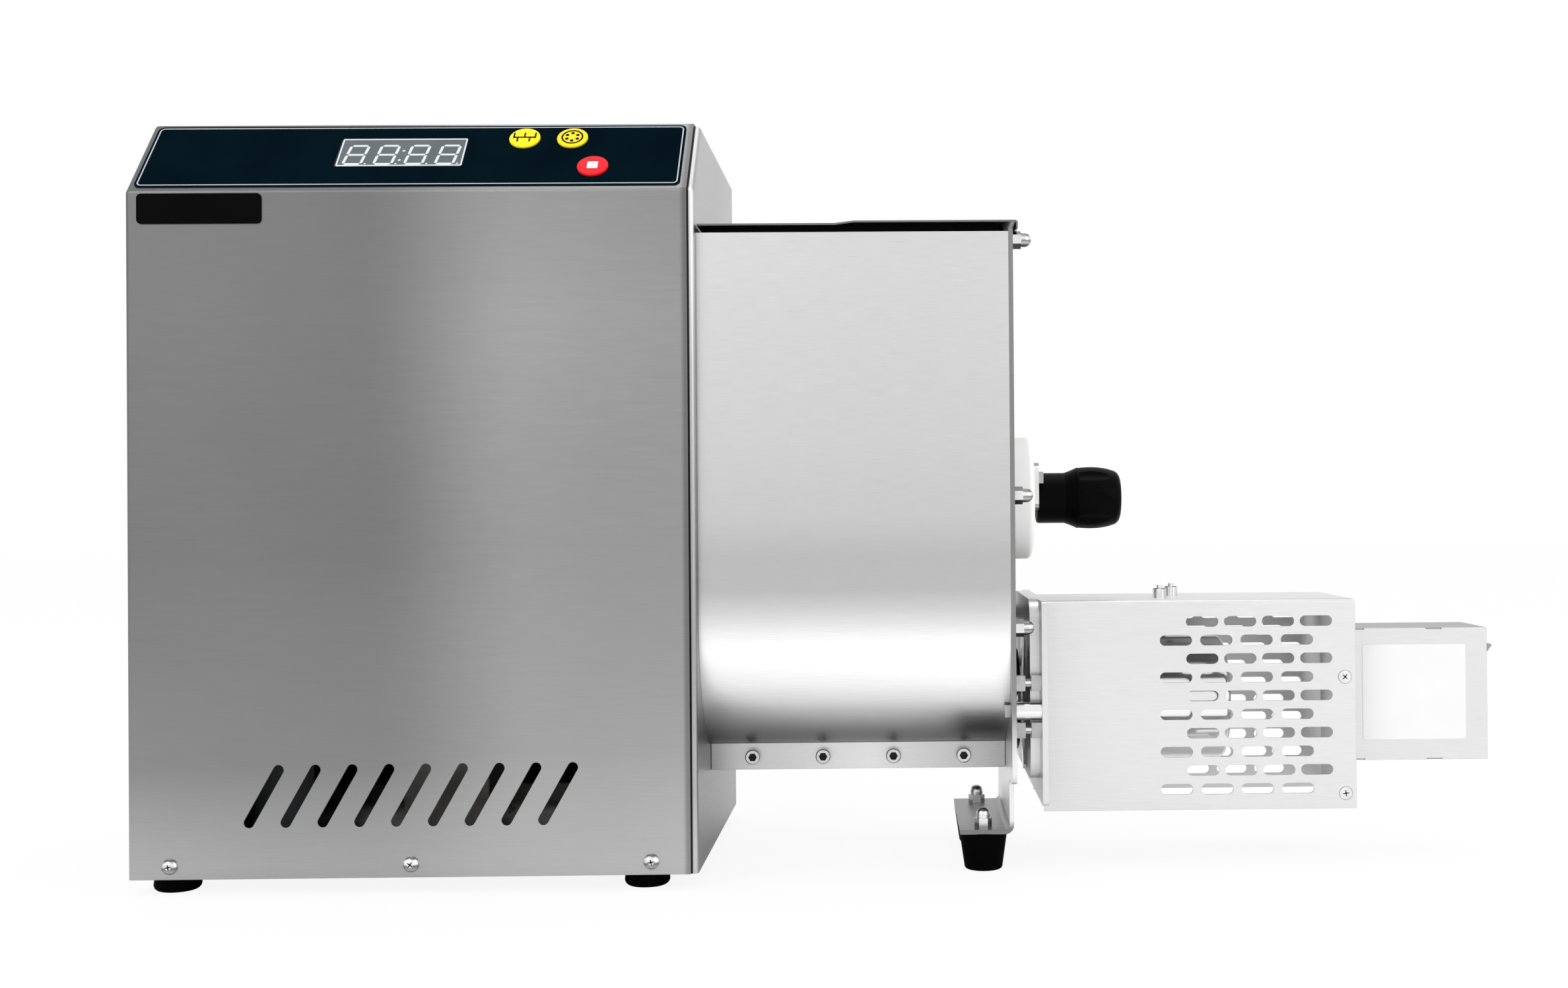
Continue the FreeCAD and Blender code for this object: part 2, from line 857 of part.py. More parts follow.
def make_power_inlet():
    """Flanged appliance socket at the back, with its three blades in a recess."""
    body = piece("power_inlet", left + s.inlet_across, -front, s.cover_lift + s.inlet_up)
    flange = rounded_box(-15.5, -29, 15.5, 29, 3)
    pad(body, sketch(body, "XZ", flange), 2.5, reverse=True)
    pad(body, sketch(body, "XZ", rounded_box(-13.6, -23.6, 13.6, 23.6, 2)), 24)
    recess = rounded_box(-8, -12.5, 8, 12.5, 3)
    pocket(body, sketch(body, "XZ", recess, level=-2.5), 18, reverse=True)
    blades = [rectangle(ZERO - 1, y - 2, 1, y + 2) for y in (-7, 7)]
    blades.append(rectangle(ZERO - 5, -2, -3, 2))
    pad(body, sketch(body, "XZ", *blades, level=16), 14, reverse=True)
    return body


# Mixing hopper
def bowl(half_width, top):
    """Half-round bottom with straight sides: the points of one side of the sheet."""
    return [
        (-half_width, top),
        (-half_width, bowl_z),
        (ZERO, bowl_z - half_width, half_width),
        (half_width, bowl_z, half_width),
        (half_width, top),
    ]


def bowl_band(outer, inner, top):
    """A band between two U shapes, open at the top."""
    inner_side = [
        (inner, top),
        (inner, bowl_z),
        (ZERO, bowl_z - inner, -inner),
        (-inner, bowl_z, -inner),
        (-inner, top),
    ]
    return bowl(outer, top) + inner_side


def make_trough():
    body = piece("hopper_trough", wall_x, hopper_y, 0)
    outer = s.hopper_width / 2
    inner = outer - s.hopper_wall
    pad(body, sketch(body, "YZ", bowl_band(outer, inner, s.hopper_top)), s.hopper_length)
    lip = bowl_band(inner + 0.5, inner - s.hopper_lip, s.hopper_top)
    pad(body, sketch(body, "YZ", lip), s.hopper_wall)
    far_lip = sketch(body, "YZ", lip, level=s.hopper_length - s.hopper_wall)
    pad(body, far_lip, s.hopper_wall)
    low = s.hopper_top - s.hopper_wall
    rims = [
        rectangle(-inner - 0.5, low, -inner + s.top_lip, s.hopper_top),
        rectangle(inner - s.top_lip, low, inner + 0.5, s.hopper_top),
    ]
    pad(body, sketch(body, "YZ", *rims), s.hopper_length)
    studs = [disc(*spot, 3.1) for spot in nut_spots()]
    pocket(body, sketch(body, "YZ", *studs, level=s.hopper_length + 1), s.hopper_wall * 3)
    seal_room = disc(0, s.pressing_height, s.bearing_size / 2 + s.sheet_gap)
    pocket(body, sketch(body, "YZ", seal_room, level=s.hopper_wall + 1), s.hopper_wall + 2)
    sleeve_room = disc(0, s.pressing_height, s.channel_size / 2 + s.barrel_wall + s.sheet_gap)
    sleeve_cut = sketch(body, "YZ", sleeve_room, level=s.hopper_length + 1)
    pocket(body, sleeve_cut, s.hopper_wall + 2)
    return body


def nut_spots():
    reach = s.hopper_width / 2 - s.nut_inset
    return [(y, z) for z in (s.nut_top, s.nut_middle, s.nut_low) for y in (-reach, reach)]


def stud_spots():
    heights = (s.pressing_height + s.stud_above, s.pressing_height - s.stud_below)
    return [(y, z) for z in heights for y in (-pillar_reach, pillar_reach)]


def make_end_plate():
    body = piece("hopper_end_plate", plate_x, hopper_y, 0)
    half = s.hopper_width / 2
    leg = s.leg_width / 2
    flange_top = s.tall_foot_height + s.plate_thick
    bend = s.plate_thick * 2
    outline = [
        (-half, s.plate_top),
        (-half, s.shoulder_height + 8),
        (-half + 8, s.shoulder_height, 8),
        (-leg - 6, s.shoulder_height),
        (-leg, s.shoulder_height - 6, -6),
        (-leg, flange_top + bend),
        (leg, flange_top + bend),
        (leg, s.shoulder_height - 6),
        (leg + 6, s.shoulder_height, -6),
        (half - 8, s.shoulder_height),
        (half, s.shoulder_height + 8, 8),
        (half, s.plate_top),
    ]
    pad(body, sketch(body, "YZ", outline), s.plate_thick)
    inner = bend - s.plate_thick
    foot = [
        (s.plate_thick, flange_top + bend),
        (ZERO, flange_top + bend),
        (ZERO, flange_top + inner),
        (-inner, flange_top, -inner),
        (s.plate_thick - s.flange_reach, flange_top),
        (s.plate_thick - s.flange_reach, s.tall_foot_height),
        (s.plate_thick - bend, s.tall_foot_height),
        (s.plate_thick, s.tall_foot_height + bend, bend),
    ]
    pad(body, sketch(body, "XZ", foot), s.leg_width, middle=True)
    holes = [
        disc(ZERO, s.mixing_height, s.pin_size / 2 + s.running_gap),
        disc(ZERO, s.pressing_height, s.channel_size / 2 + s.barrel_wall + s.running_gap),
    ]
    holes += [disc(*spot, 3.1) for spot in nut_spots() + stud_spots()]
    holes += [disc(y, s.pressing_height, 2.6) for y in (-pillar_reach, pillar_reach)]
    pocket(body, sketch(body, "YZ", *holes, level=s.plate_thick + 1), s.plate_thick + 2)
    foot_x = s.plate_thick - s.tall_foot_inset
    spread = s.tall_foot_spread / 2
    feet = [disc(foot_x, y, 3.1) for y in (-spread, spread)]
    pocket(body, sketch(body, "XY", *feet, level=flange_top + 1), s.plate_thick + 2)
    return body


def make_support_rail():
    gap = s.sheet_gap
    body = piece("support_rail", wall_x + gap, hopper_y, 0)
    half = s.rail_width / 2
    seat = s.hopper_width / 2 + s.running_gap
    top = bowl_z - root(seat * seat - half * half)
    outline = [
        (-half, s.rail_bottom),
        (half, s.rail_bottom),
        (half, top),
        (-half, top, -seat),
    ]
    length = s.hopper_length - 2 * gap
    pad(body, sketch(body, "YZ", outline), length)
    holes = [disc(rail_screw_x(step) - gap, rail_screw_z(), 3.1) for step in range(4)]
    pocket(body, sketch(body, "XZ", *holes, level=half + 1), 16)
    return body


def rail_screw_x(step):
    return s.hopper_length / 2 + s.rail_screw_pitch * (step - 1.5)


def rail_screw_z():
    return s.rail_bottom + 9


def make_rail_screws():
    master = piece("cap_screw")
    head = [(-14.5, ZERO), (-14.5, 3.0), (ZERO, 3.0), (ZERO, 5.0)]
    head += [(5.4, 5.0), (6.0, 4.4), (6.0, ZERO)]
    revolve(master, sketch(master, "XY", head))
    pocket(master, sketch(master, "YZ", hexagon(as_size(5)), level=6.5), 3.5)
    y = hopper_y - s.rail_width / 2
    places = [(wall_x + rail_screw_x(step), y, rail_screw_z(), FACING_FRONT) for step in range(4)]
    return group("rail_screws", master, places)


def make_acorn_nuts():
    """Domed M6 nuts, each on the end of its stud."""
    master = piece("acorn_nut")
    stem = [
        (-6.5, ZERO),
        (-6.5, 3.0),
        (1.0, 3.0),
        (1.0, 4.5),
        (7.9, 4.5),
        (12.4, ZERO, -4.5),
    ]
    revolve(master, sketch(master, "XY", stem))
    pad(master, sketch(master, "YZ", hexagon(as_size(10)), turn=as_size(30)), 5.6)
    places = [(outer_x, hopper_y + y, z) for y, z in nut_spots()]
    foot_x = outer_x - s.tall_foot_inset
    spread = s.tall_foot_spread / 2
    top = s.tall_foot_height + s.plate_thick
    places += [(foot_x, hopper_y + y, top, ((0, 1, 0), -90)) for y in (-spread, spread)]
    return group("acorn_nuts", master, places)


def make_hopper_feet():
    height = s.tall_foot_height
    points = [
        (ZERO, ZERO),
        (ZERO, s.tall_foot_bottom / 2 - 2),
        (2, s.tall_foot_bottom / 2, -2.2),
        (height, s.tall_foot_top / 2),
        (height, 3.3),
        (height - 6, 3.3),
        (height - 6, ZERO),
    ]
    master = turned("tall_foot", points)
    foot_x = outer_x - s.tall_foot_inset
    spread = s.tall_foot_spread / 2
    places = [(foot_x, hopper_y + y, 0, ((0, 1, 0), -90)) for y in (-spread, spread)]
    return group("hopper_feet", master, places)


# Pressing screw, barrel and die
def make_barrel():
    """Floor casting with the screw's channel, closed to a sleeve before the die."""
    start = s.sheet_gap
    body = piece("extrusion_barrel", wall_x + start, hopper_y, s.pressing_height)
    length = s.hopper_length - start * 2
    bed = s.hopper_width / 2 - s.hopper_wall - s.sheet_gap
    centre = bowl_z - s.pressing_height
    chord = as_size(4)
    half = root(bed * bed - (centre - chord) * (centre - chord))
    lip_room = s.hopper_wall
    block = [(-half, chord), (half, chord, bed)]
    block_sketch = sketch(body, "YZ", block, level=lip_room)
    pad(body, block_sketch, length - 2 * lip_room)
    sleeve = s.channel_size / 2 + s.barrel_wall
    nose = s.sheet_gap + s.plate_thick + s.nose_length
    sleeve_sketch = sketch(body, "YZ", disc(0, 0, sleeve), level=length - s.sleeve_length)
    pad(body, sleeve_sketch, s.sleeve_length + nose)
    pocket(body, sketch(body, "YZ", disc(0, 0, s.channel_size / 2), level=length + nose + 1))
    opening = rectangle(-s.channel_size / 2, 0, s.channel_size / 2, 60)
    feed = length - s.sleeve_length
    pocket(body, sketch(body, "YZ", opening, level=feed), feed)
    return body


def make_extrusion_screw():
    """Solid core with one helical flight, a plain shaft to the gear and a pointed tip."""
    body = piece("extrusion_screw", wall_x, hopper_y, s.pressing_height)
    core = s.core_size / 2
    back = -(wall_x - carrier_x + s.carrier_thick + 2)
    end = s.hopper_length + s.plate_thick + s.nose_length - 1
    points = [
        (back, ZERO),
        (back, shaft_radius),
        (as_size(10), shaft_radius),
        (as_size(13), core),
        (end - 14, core),
        (end, 3.0),
        (end, ZERO),
    ]
    revolve(body, sketch(body, "XY", points))
    tip = s.channel_size / 2 - s.flight_gap
    start = as_size(16)
    flight = [
        (start, core - 1.5),
        (start + s.flight_root, core - 1.5),
        (start + (s.flight_root + s.flight_tip) / 2, tip),
        (start + (s.flight_root - s.flight_tip) / 2, tip),
    ]
    profile = sketch(body, "XY", flight)
    helix = body.newObject("PartDesign::AdditiveHelix", "Flight")
    helix.Profile = profile
    helix.ReferenceAxis = (origin(body, "X_Axis"), [""])
    helix.Mode = "pitch-height-angle"
    bind(helix, "Pitch", s.flight_pitch)
    bind(helix, "Height", end - start - 26)
    return body


def make_die_plate():
    body = piece("die_plate", outer_x + s.nose_length, hopper_y, s.pressing_height)
    radius = s.channel_size / 2 + s.barrel_wall - 0.2
    pad(body, sketch(body, "YZ", disc(0, 0, radius)), s.die_thick)
    pocket(body, sketch(body, "YZ", disc(0, 0, s.die_hole / 2), level=s.die_thick + 1))
    outer = disc(s.die_hole_circle / 2, 0, s.die_hole / 2)
    hole = pocket(body, sketch(body, "YZ", outer, level=s.die_thick + 1))
    in_ring(body, hole, "X", 6)
    return body


def make_die_ring():
    """Collar that screws onto the barrel's nose and traps the die."""
    thread = s.channel_size / 2 + s.barrel_wall + s.running_gap
    mouth = s.channel_size / 2 - 2.5
    step = s.nose_length + s.die_thick
    outer = s.collar_size / 2
    points = [
        (ZERO, thread),
        (ZERO, outer),
        (s.collar_length - 2, outer),
        (s.collar_length, outer - 2),
        (s.collar_length, mouth),
        (step, mouth),
        (step, thread),
    ]
    body = turned("die_ring_nut", points, outer_x, hopper_y, s.pressing_height)
    notch = disc(outer - 5, 0, 2.6)
    hole = pocket(body, sketch(body, "YZ", notch, level=s.collar_length + 1), 5)
    in_ring(body, hole, "X", 4)
    return body


# Mixing shaft
def make_mixing_shaft():
    back = -(wall_x - carrier_x + s.carrier_thick + 2)
    end = s.hopper_length - 0.6
    socket = s.pin_size / 2 + s.running_gap
    points = [
        (back, ZERO),
        (back, shaft_radius),
        (end - 1, shaft_radius),
        (end, shaft_radius - 1),
        (end, socket),
        (end - s.pin_grip - 1.5, socket),
        (end - s.pin_grip - 1.5, ZERO),
    ]
    return turned("mixing_shaft", points, wall_x, hopper_y, s.mixing_height)


def make_paddles():
    """Five arms in turn up and down the shaft, each ending in a twisted blade."""
    master = piece("paddle")
    stem = [(shaft_radius - 3, 5.5), (s.paddle_reach * 0.55, 4.5), (s.paddle_reach * 0.55, ZERO)]
    stem = [(shaft_radius - 3, ZERO)] + stem
    revolve(master, sketch(master, "XY", stem))
    half = s.paddle_width / 2
    inner = s.paddle_reach * 0.42
    blade = [
        (inner, -half * 0.5),
        (s.paddle_reach - half, -half),
        (s.paddle_reach, ZERO, half * 1.05),
        (s.paddle_reach - half, half, half * 1.05),
        (inner, half * 0.5),
    ]
    pad(master, sketch(master, "XY", blade), s.paddle_thick, middle=True)
    arms = []
    for step in range(5):
        arm = document.addObject("App::Link", "paddle_copy")
        arm.LinkedObject = master
        x = s.hopper_length / 2 + s.paddle_pitch * (step - 2)
        upward = -1 if step % 2 == 0 else 1
        arm.Placement = Placement(
            Vector(wall_x.value + x.value, hopper_y.value, s.mixing_height.value),
            Rotation(Vector(0, 1, 0), 90 * upward) * Rotation(Vector(1, 0, 0), s.paddle_twist.value),
        )
        bind(arm, "Placement.Base.x", wall_x + x)
        bind(arm, "Placement.Base.y", hopper_y)
        bind(arm, "Placement.Base.z", s.mixing_height)
        arms.append(arm)
    blank = document.addObject("Part::Compound", "paddle_blanks")
    blank.Links = arms
    core = document.addObject("Part::Cylinder", "paddle_core")
    bind(core, "Radius", shaft_radius)
    bind(core, "Height", s.hopper_length)
    place(core, wall_x, hopper_y, s.mixing_height, ALONG_X_FROM_Z)
    cut = document.addObject("Part::Cut", "mixing_paddles")
    cut.Label = "mixing_paddles"
    cut.Base = blank
    cut.Tool = core
    return cut


def make_seals():
    points = [
        (ZERO, shaft_radius + s.running_gap),
        (ZERO, s.bearing_size / 2),
        (3.0, s.bearing_size / 2),
        (4.0, s.bearing_size / 2 - 1),
        (4.0, shaft_radius + s.running_gap),
    ]
    master = turned("shaft_seal", points)
    places = [(wall_x, hopper_y, z) for z in (s.mixing_height, s.pressing_height)]
    return group("shaft_seals", master, places)


# Gears, bearings and motor in the housing
def make_bearings():
    """Flanged bushes: two in the end wall and two in the carrier plate."""
    bore = shaft_radius + s.running_gap
    barrel = s.bearing_size / 2
    flange = s.bearing_flange / 2
    points = [
        (-s.bearing_length, bore),
        (-s.bearing_length, barrel + 4),
        (-4.0, barrel + 4),
        (-4.0, flange),
        (ZERO, flange),
        (ZERO, barrel),
        (s.cover_wall - 0.1, barrel),
        (s.cover_wall - 0.1, bore),
    ]
    master = turned("shaft_bearing", points)
    places = []
    for z in (s.mixing_height, s.pressing_height):
        places.append((wall_x - s.cover_wall, hopper_y, z))
        places.append((carrier_x, hopper_y, z, ((0, 0, 1), 180)))
    return group("shaft_bearings", master, places)


def make_carrier():
    """Plate that stands on the base and carries the inner bushes and the gearbox."""
    floor = s.cover_lift + s.cover_wall + s.base_thick
    body = piece("gear_carrier", carrier_x - s.carrier_thick, hopper_y, floor)
    shoulder = s.carrier_shoulder
    top = s.mixing_height - floor + shoulder
    pinion = motor_y - hopper_y
    right = pinion + s.gearbox_size / 2
    under = motor_z - floor - s.gearbox_size / 2
    outline = [
        (-s.carrier_front, ZERO),
        (pinion, ZERO),
        (pinion, under - s.carrier_foot),
        (right, under),
        (right, motor_z - floor + s.gearbox_size / 2),
        (shoulder, top),
        (-shoulder, top),
        (-s.carrier_front, top - s.carrier_slope),
    ]
    pad(body, sketch(body, "YZ", outline), s.carrier_thick)
    foot = rectangle(-s.carrier_foot, -s.carrier_front, 0, pinion)
    pad(body, sketch(body, "XY", foot), s.carrier_thick)
    holes = [
        disc(ZERO, s.mixing_height - floor, s.bearing_size / 2 + s.running_gap),
        disc(ZERO, s.pressing_height - floor, s.bearing_size / 2 + s.running_gap),
        disc(pinion, motor_z - floor, 18),
    ]
    pocket(body, sketch(body, "YZ", *holes, level=s.carrier_thick + 1), s.carrier_thick + 2)
    return body


def make_gear(label, teeth, x, y, z, phase, bore):
    """A spur gear: a turned blank with one tooth gap cut and repeated round it."""
    body = piece(label, x, y, z)
    pitch = gear_module * teeth / 2
    tip = pitch + gear_module
    width = s.gear_width
    shaft_end = carrier_x - s.carrier_thick + s.sheet_gap - gear_x
    blank = [
        (shaft_end, ZERO),
        (shaft_end, bore),
        (-width, bore),
        (-width, tip - 1),
        (-width + 1, tip),
        (ZERO - 1, tip),
        (ZERO, tip - 1),
        (ZERO, bore),
        (as_size(4), bore),
        (as_size(5), bore - 1),
        (as_size(5), ZERO),
    ]
    if teeth.value > 20:
        hub = shaft_radius + 9
        rim = pitch - gear_module * 2.6
        web = width * 0.3
        blank = [
            (-width, bore),
            (-width, hub),
            (-width + web, hub + 2),
            (-width + web, rim - 2),
            (-width, rim),
            (-width, tip - 1),
            (-width + 1, tip),
            (ZERO - 1, tip),
            (ZERO, tip - 1),
            (ZERO, rim),
            (-web, rim - 2),
            (-web, hub + 2),
            (ZERO, hub),
            (ZERO, bore),
        ]
    revolve(body, sketch(body, "XY", blank))
    root_slope = tangent(20 - 200 / teeth)
    tip_slope = tangent(20 + 240 / teeth)
    half = gear_module * math.pi / 4 + s.backlash / 2
    low = gear_module * 1.25
    high = gear_module + 1
    gap = [
        (pitch - low, -half + low * root_slope),
        (pitch, -half),
        (pitch + high, -half - high * tip_slope),
        (pitch + high, half + high * tip_slope),
        (pitch, half),
        (pitch - low, half - low * root_slope),
    ]
    cut = pocket(body, sketch(body, "YZ", gap, turn=phase, level=1), width + 2)
    in_ring(body, cut, "X", teeth)
    if teeth.value > 20:
        spoke = disc((hub + rim) / 2, 0, (rim - hub) / 2 - 6)
        hole = pocket(body, sketch(body, "YZ", spoke, level=1), width + 2)
        in_ring(body, hole, "X", 5)
    return body


def make_gears():
    mixer_phase = -90 + 180 / s.mixer_teeth
    pinion_phase = 225 + 180 / s.pinion_teeth
    screw_phase = as_size(90)
    z = s.pressing_height
    bore = shaft_radius
    make_gear("mixer_gear", s.mixer_teeth, gear_x, hopper_y, s.mixing_height, mixer_phase, bore)
    make_gear("screw_gear", s.screw_teeth, gear_x, hopper_y, z, screw_phase, bore)
    make_gear("drive_pinion", s.pinion_teeth, gear_x, motor_y, motor_z, pinion_phase, as_size(9))


def make_gearbox():
    """Cast reduction box with a flange, ribs and a round boss."""
    body = piece("gearbox_case", carrier_x - s.carrier_thick, motor_y, motor_z)
    half = s.gearbox_size / 2
    outline = rounded_box(-half, -half, half, half, 10)
    pad(body, sketch(body, "YZ", outline), 8, reverse=True)
    inner = rounded_box(-half + 7, -half + 7, half - 7, half - 7, 12)
    pad(body, sketch(body, "YZ", inner, level=-8 + 0.5), s.gearbox_length - 8, reverse=True)
    rib = rectangle(ZERO - 2, -half + 1, 2, half - 1)
    for across in (-24, 0, 24):
        moved = [(x + across, y) for x, y in rib]
        pad(body, sketch(body, "YZ", moved, level=-7.5), s.gearbox_length - 22, reverse=True)
    return body


def make_motor():
    """Totally enclosed motor: ribbed shell, end bell and a slotted fan cowl."""
    body = piece("motor_body", carrier_x - s.carrier_thick - s.gearbox_length + 0.5, motor_y, motor_z)
    radius = s.motor_size / 2
    length = s.motor_length
    points = [
        (ZERO, ZERO),
        (ZERO, radius - 8),
        (-10, radius - 2),
        (-18, radius - 2),
        (-18, radius - 6),
        (-length + 40, radius - 6),
        (-length + 40, radius),
        (-length + 6, radius),
        (-length, radius - 6, 6),
        (-length, ZERO),
    ]
    revolve(body, sketch(body, "XY", points))
    fin = rectangle(radius - 8, -1.5, radius - 1, 1.5)
    ridge = pad(body, sketch(body, "YZ", fin, level=-17), length - 56, reverse=True)
    in_ring(body, ridge, "X", 20)
    return body


def make_motor_bracket():
    """Folded trestle from the base to the motor's belly."""
    floor = s.cover_lift + s.cover_wall + s.base_thick
    centre = carrier_x - s.carrier_thick - s.gearbox_length - s.motor_length * 0.42
    body = piece("motor_bracket", centre, motor_y, floor)
    top = motor_z - floor
    seat = s.motor_size / 2 - 0.7
    half = s.trestle_width / 2
    height = top - root(seat * seat - half * half)
    outline = [
        (-half - 10, ZERO),
        (half + 10, ZERO),
        (half + 10, 3),
        (half, 3),
        (half, height),
        (-half, height, -seat),
        (-half, 3),
        (-half - 10, 3),
    ]
    pad(body, sketch(body, "YZ", outline), 60, middle=True)
    pocket(body, sketch(body, "YZ", rectangle(-half + 4, 4, half - 4, height - 26), level=31))
    return body


def make_capacitor():
    floor = s.cover_lift + s.cover_wall + s.base_thick
    radius = s.capacitor_size / 2
    end = s.capacitor_length
    points = [
        (ZERO, ZERO),
        (ZERO, radius),
        (end - 2, radius),
        (end, radius - 2),
        (end, 9.0),
        (end + 6, 8.0),
        (end + 6, ZERO),
    ]
    x = left + s.cover_width * 0.2
    return turned("motor_capacitor", points, x, hopper_y - 30, floor, ((0, 1, 0), -90))


# Lid
def make_lid():
    body = piece("lid_plate", wall_x, hopper_y, 0)
    start = s.lid_side_gap
    end = s.hopper_length + s.plate_thick + s.lid_overhang
    low = s.lid_low
    high = low + s.lid_step
    thick = s.lid_thick
    step = s.lid_step_place
    after = step + s.lid_step_length
    outline = [
        (start, low - thick),
        (step, low - thick),
        (after, high - thick),
        (end - thick - 0.8, high - thick),
        (end - thick, high - thick - 0.8, -0.8),
        (end - thick, s.plate_top),
        (end, s.plate_top),
        (end, high - 2),
        (end - 2, high, 2),
        (after, high),
        (step, low),
        (start, low),
    ]
    reach = s.hopper_width / 2
    drawing = sketch(body, "XZ", outline, level=reach + s.lid_front_reach)
    pad(body, drawing, s.hopper_width + s.lid_front_reach - s.lid_back_gap, reverse=True)
    return body


def make_lid_seal():
    """Rubber frame glued under the lid, following the rim of the trough."""
    body = piece("lid_seal", wall_x, hopper_y, s.hopper_top + s.sheet_gap)
    inner = s.hopper_width / 2 - s.top_lip
    outer = inner + s.seal_width
    start = s.lid_side_gap + 3
    end = s.hopper_length - 3
    height = s.lid_low - s.lid_thick - s.hopper_top - s.sheet_gap
    frame = rounded_box(start, -outer, end, outer, 6)
    middle = rounded_box(start + s.seal_width, -inner, end - s.seal_width, inner, 4)
    pad(body, sketch(body, "XY", frame, middle), height)
    raised = s.lid_step_place + s.lid_step_length
    strips = [
        rectangle(raised, -outer, end - 6, -inner),
        rectangle(raised, inner, end - 6, outer),
    ]
    pad(body, sketch(body, "XY", *strips), height + s.lid_step)
    return body


def hinge_axis():
    """Where the hinge pins run: behind the trough, just under the lid's top."""
    y = hopper_y + s.hopper_width / 2 + s.hinge_reach
    z = s.lid_low + s.lid_step + s.hinge_thick - s.hinge_knuckle / 2
    return y, z


def hinge_starts():
    second = s.hopper_length - s.hinge_inset - s.hinge_leaf
    return (wall_x + s.hinge_inset * 0.6, wall_x + second)


def make_hinges():
    y, z = hinge_axis()
    knuckle = s.hinge_knuckle / 2
    bore = s.hinge_pin / 2
    third = s.hinge_leaf / 3
    fixed = piece("hinge_leaf_fixed")
    wall = -s.hinge_reach
    plate = rectangle(wall, -40, wall + 2, 0)
    pad(fixed, sketch(fixed, "YZ", plate), s.hinge_leaf)
    for start in (ZERO, third * 2):
        pad(fixed, sketch(fixed, "YZ", disc(0, 0, knuckle), level=start), third)
        bridge = rectangle(wall + 0.5, -knuckle, 0, ZERO)
        pad(fixed, sketch(fixed, "YZ", bridge, level=start), third)
    clear = rectangle(wall - 1, -knuckle - 0.6, knuckle + 1, knuckle + 1)
    middle = sketch(fixed, "YZ", clear, level=third - 0.3)
    pocket(fixed, middle, third + 0.6, reverse=True)
    pocket(fixed, sketch(fixed, "YZ", disc(0, 0, bore), level=-1), reverse=True)
    moving = piece("hinge_leaf_moving")
    top = knuckle
    leaf = rectangle(wall - 30, top - s.hinge_thick, 0, top)
    pad(moving, sketch(moving, "YZ", leaf), s.hinge_leaf)
    trim = rectangle(wall + 0.2, -knuckle - 1, knuckle + 1, knuckle + 1)
    for start in (ZERO - 1, third * 2 - 0.3):
        pocket(moving, sketch(moving, "YZ", trim, level=start), third + 1.3, reverse=True)
    pad(moving, sketch(moving, "YZ", disc(0, 0, knuckle), level=third + 0.3), third - 0.6)
    pocket(moving, sketch(moving, "YZ", disc(0, 0, bore + s.running_gap), level=-1), reverse=True)
    end = s.hinge_leaf + 1.5
    pin = turned("hinge_pin_one", [(-1.5, ZERO), (-1.5, bore), (end, bore), (end, ZERO)])
    starts = hinge_starts()
    group("hinge_base", fixed, [(x, y, z) for x in starts])
    packing = piece("hinge_packing", starts[0], y, z)
    under = top - s.hinge_thick
    strip = rectangle(wall - 30, under - s.lid_step + 0.05, wall - 1, under - 0.05)
    pad(packing, sketch(packing, "YZ", strip), s.hinge_leaf)
    leaves = group("hinge_leaves", moving, [(x, y, z) for x in starts])
    leaves.Links = leaves.Links + [packing]
    return group("hinge_pins", pin, [(x, y, z) for x in starts])


# Release knob
def make_release():
    z = s.mixing_height
    radius = s.disc_size / 2
    bore = s.pin_size / 2 + s.running_gap
    points = [
        (ZERO, bore),
        (ZERO, radius - 1),
        (1.0, radius, -1.4),
        (s.disc_thick - 4, radius),
        (s.disc_thick, radius - 4, -4),
        (s.disc_thick, bore),
    ]
    bearing = turned("front_bearing_disc", points, outer_x, hopper_y, z)
    taps = [disc(y, keeper_bolt_up(), 2.6) for y in (-20, 20)]
    drilled = sketch(bearing, "YZ", *taps, level=s.disc_thick + 1)
    pocket(bearing, drilled, s.bolt_reach - s.keeper_thick + 2)
    keeper = piece("keeper_plate", outer_x + s.disc_thick, hopper_y, z)
    half = s.keeper_width / 2
    low = s.keeper_rise - s.keeper_height / 2
    outline = rounded_box(-half, low, half, low + s.keeper_height, 4)
    bolts = [disc(y, keeper_bolt_up(), 2.6) for y in (-20, 20)]
    pad(keeper, sketch(keeper, "YZ", outline, disc(0, 0, bore + 1.5), *bolts), s.keeper_thick)
    knob = piece("release_knob", outer_x + s.disc_thick + s.keeper_thick + s.sheet_gap, hopper_y, z)
    length = s.knob_length
    neck = s.knob_neck / 2
    grip = s.knob_size / 2
    profile = [
        (ZERO, s.pin_size / 2),
        (ZERO, neck - 1),
        (1.0, neck),
        (length * 0.33, neck),
        (length * 0.48, grip - 0.6, 60),
        (length * 0.72, grip, -50),
        (length - 5, grip - 2.5, -50),
        (length, grip - 8.5, -6.3),
        (length, ZERO),
        (as_size(20), ZERO),
        (as_size(20), s.pin_size / 2),
    ]
    revolve(knob, sketch(knob, "XY", profile))
    scallop = disc(grip + 7, 0, 8.6)
    cut = pocket(knob, sketch(knob, "YZ", scallop, level=length + 1), length * 0.52)
    in_ring(knob, cut, "X", 8)
    back = s.plate_thick + 0.6 + s.pin_grip
    ahead = s.disc_thick + s.keeper_thick + s.sheet_gap + 20
    rod = s.pin_size / 2
    pin = [(-back, ZERO), (-back, rod - 1), (-back + 1, rod), (ahead, rod), (ahead, ZERO)]
    return turned("release_pin", pin, outer_x, hopper_y, z)


def keeper_bolt_up():
    return s.keeper_rise + 6


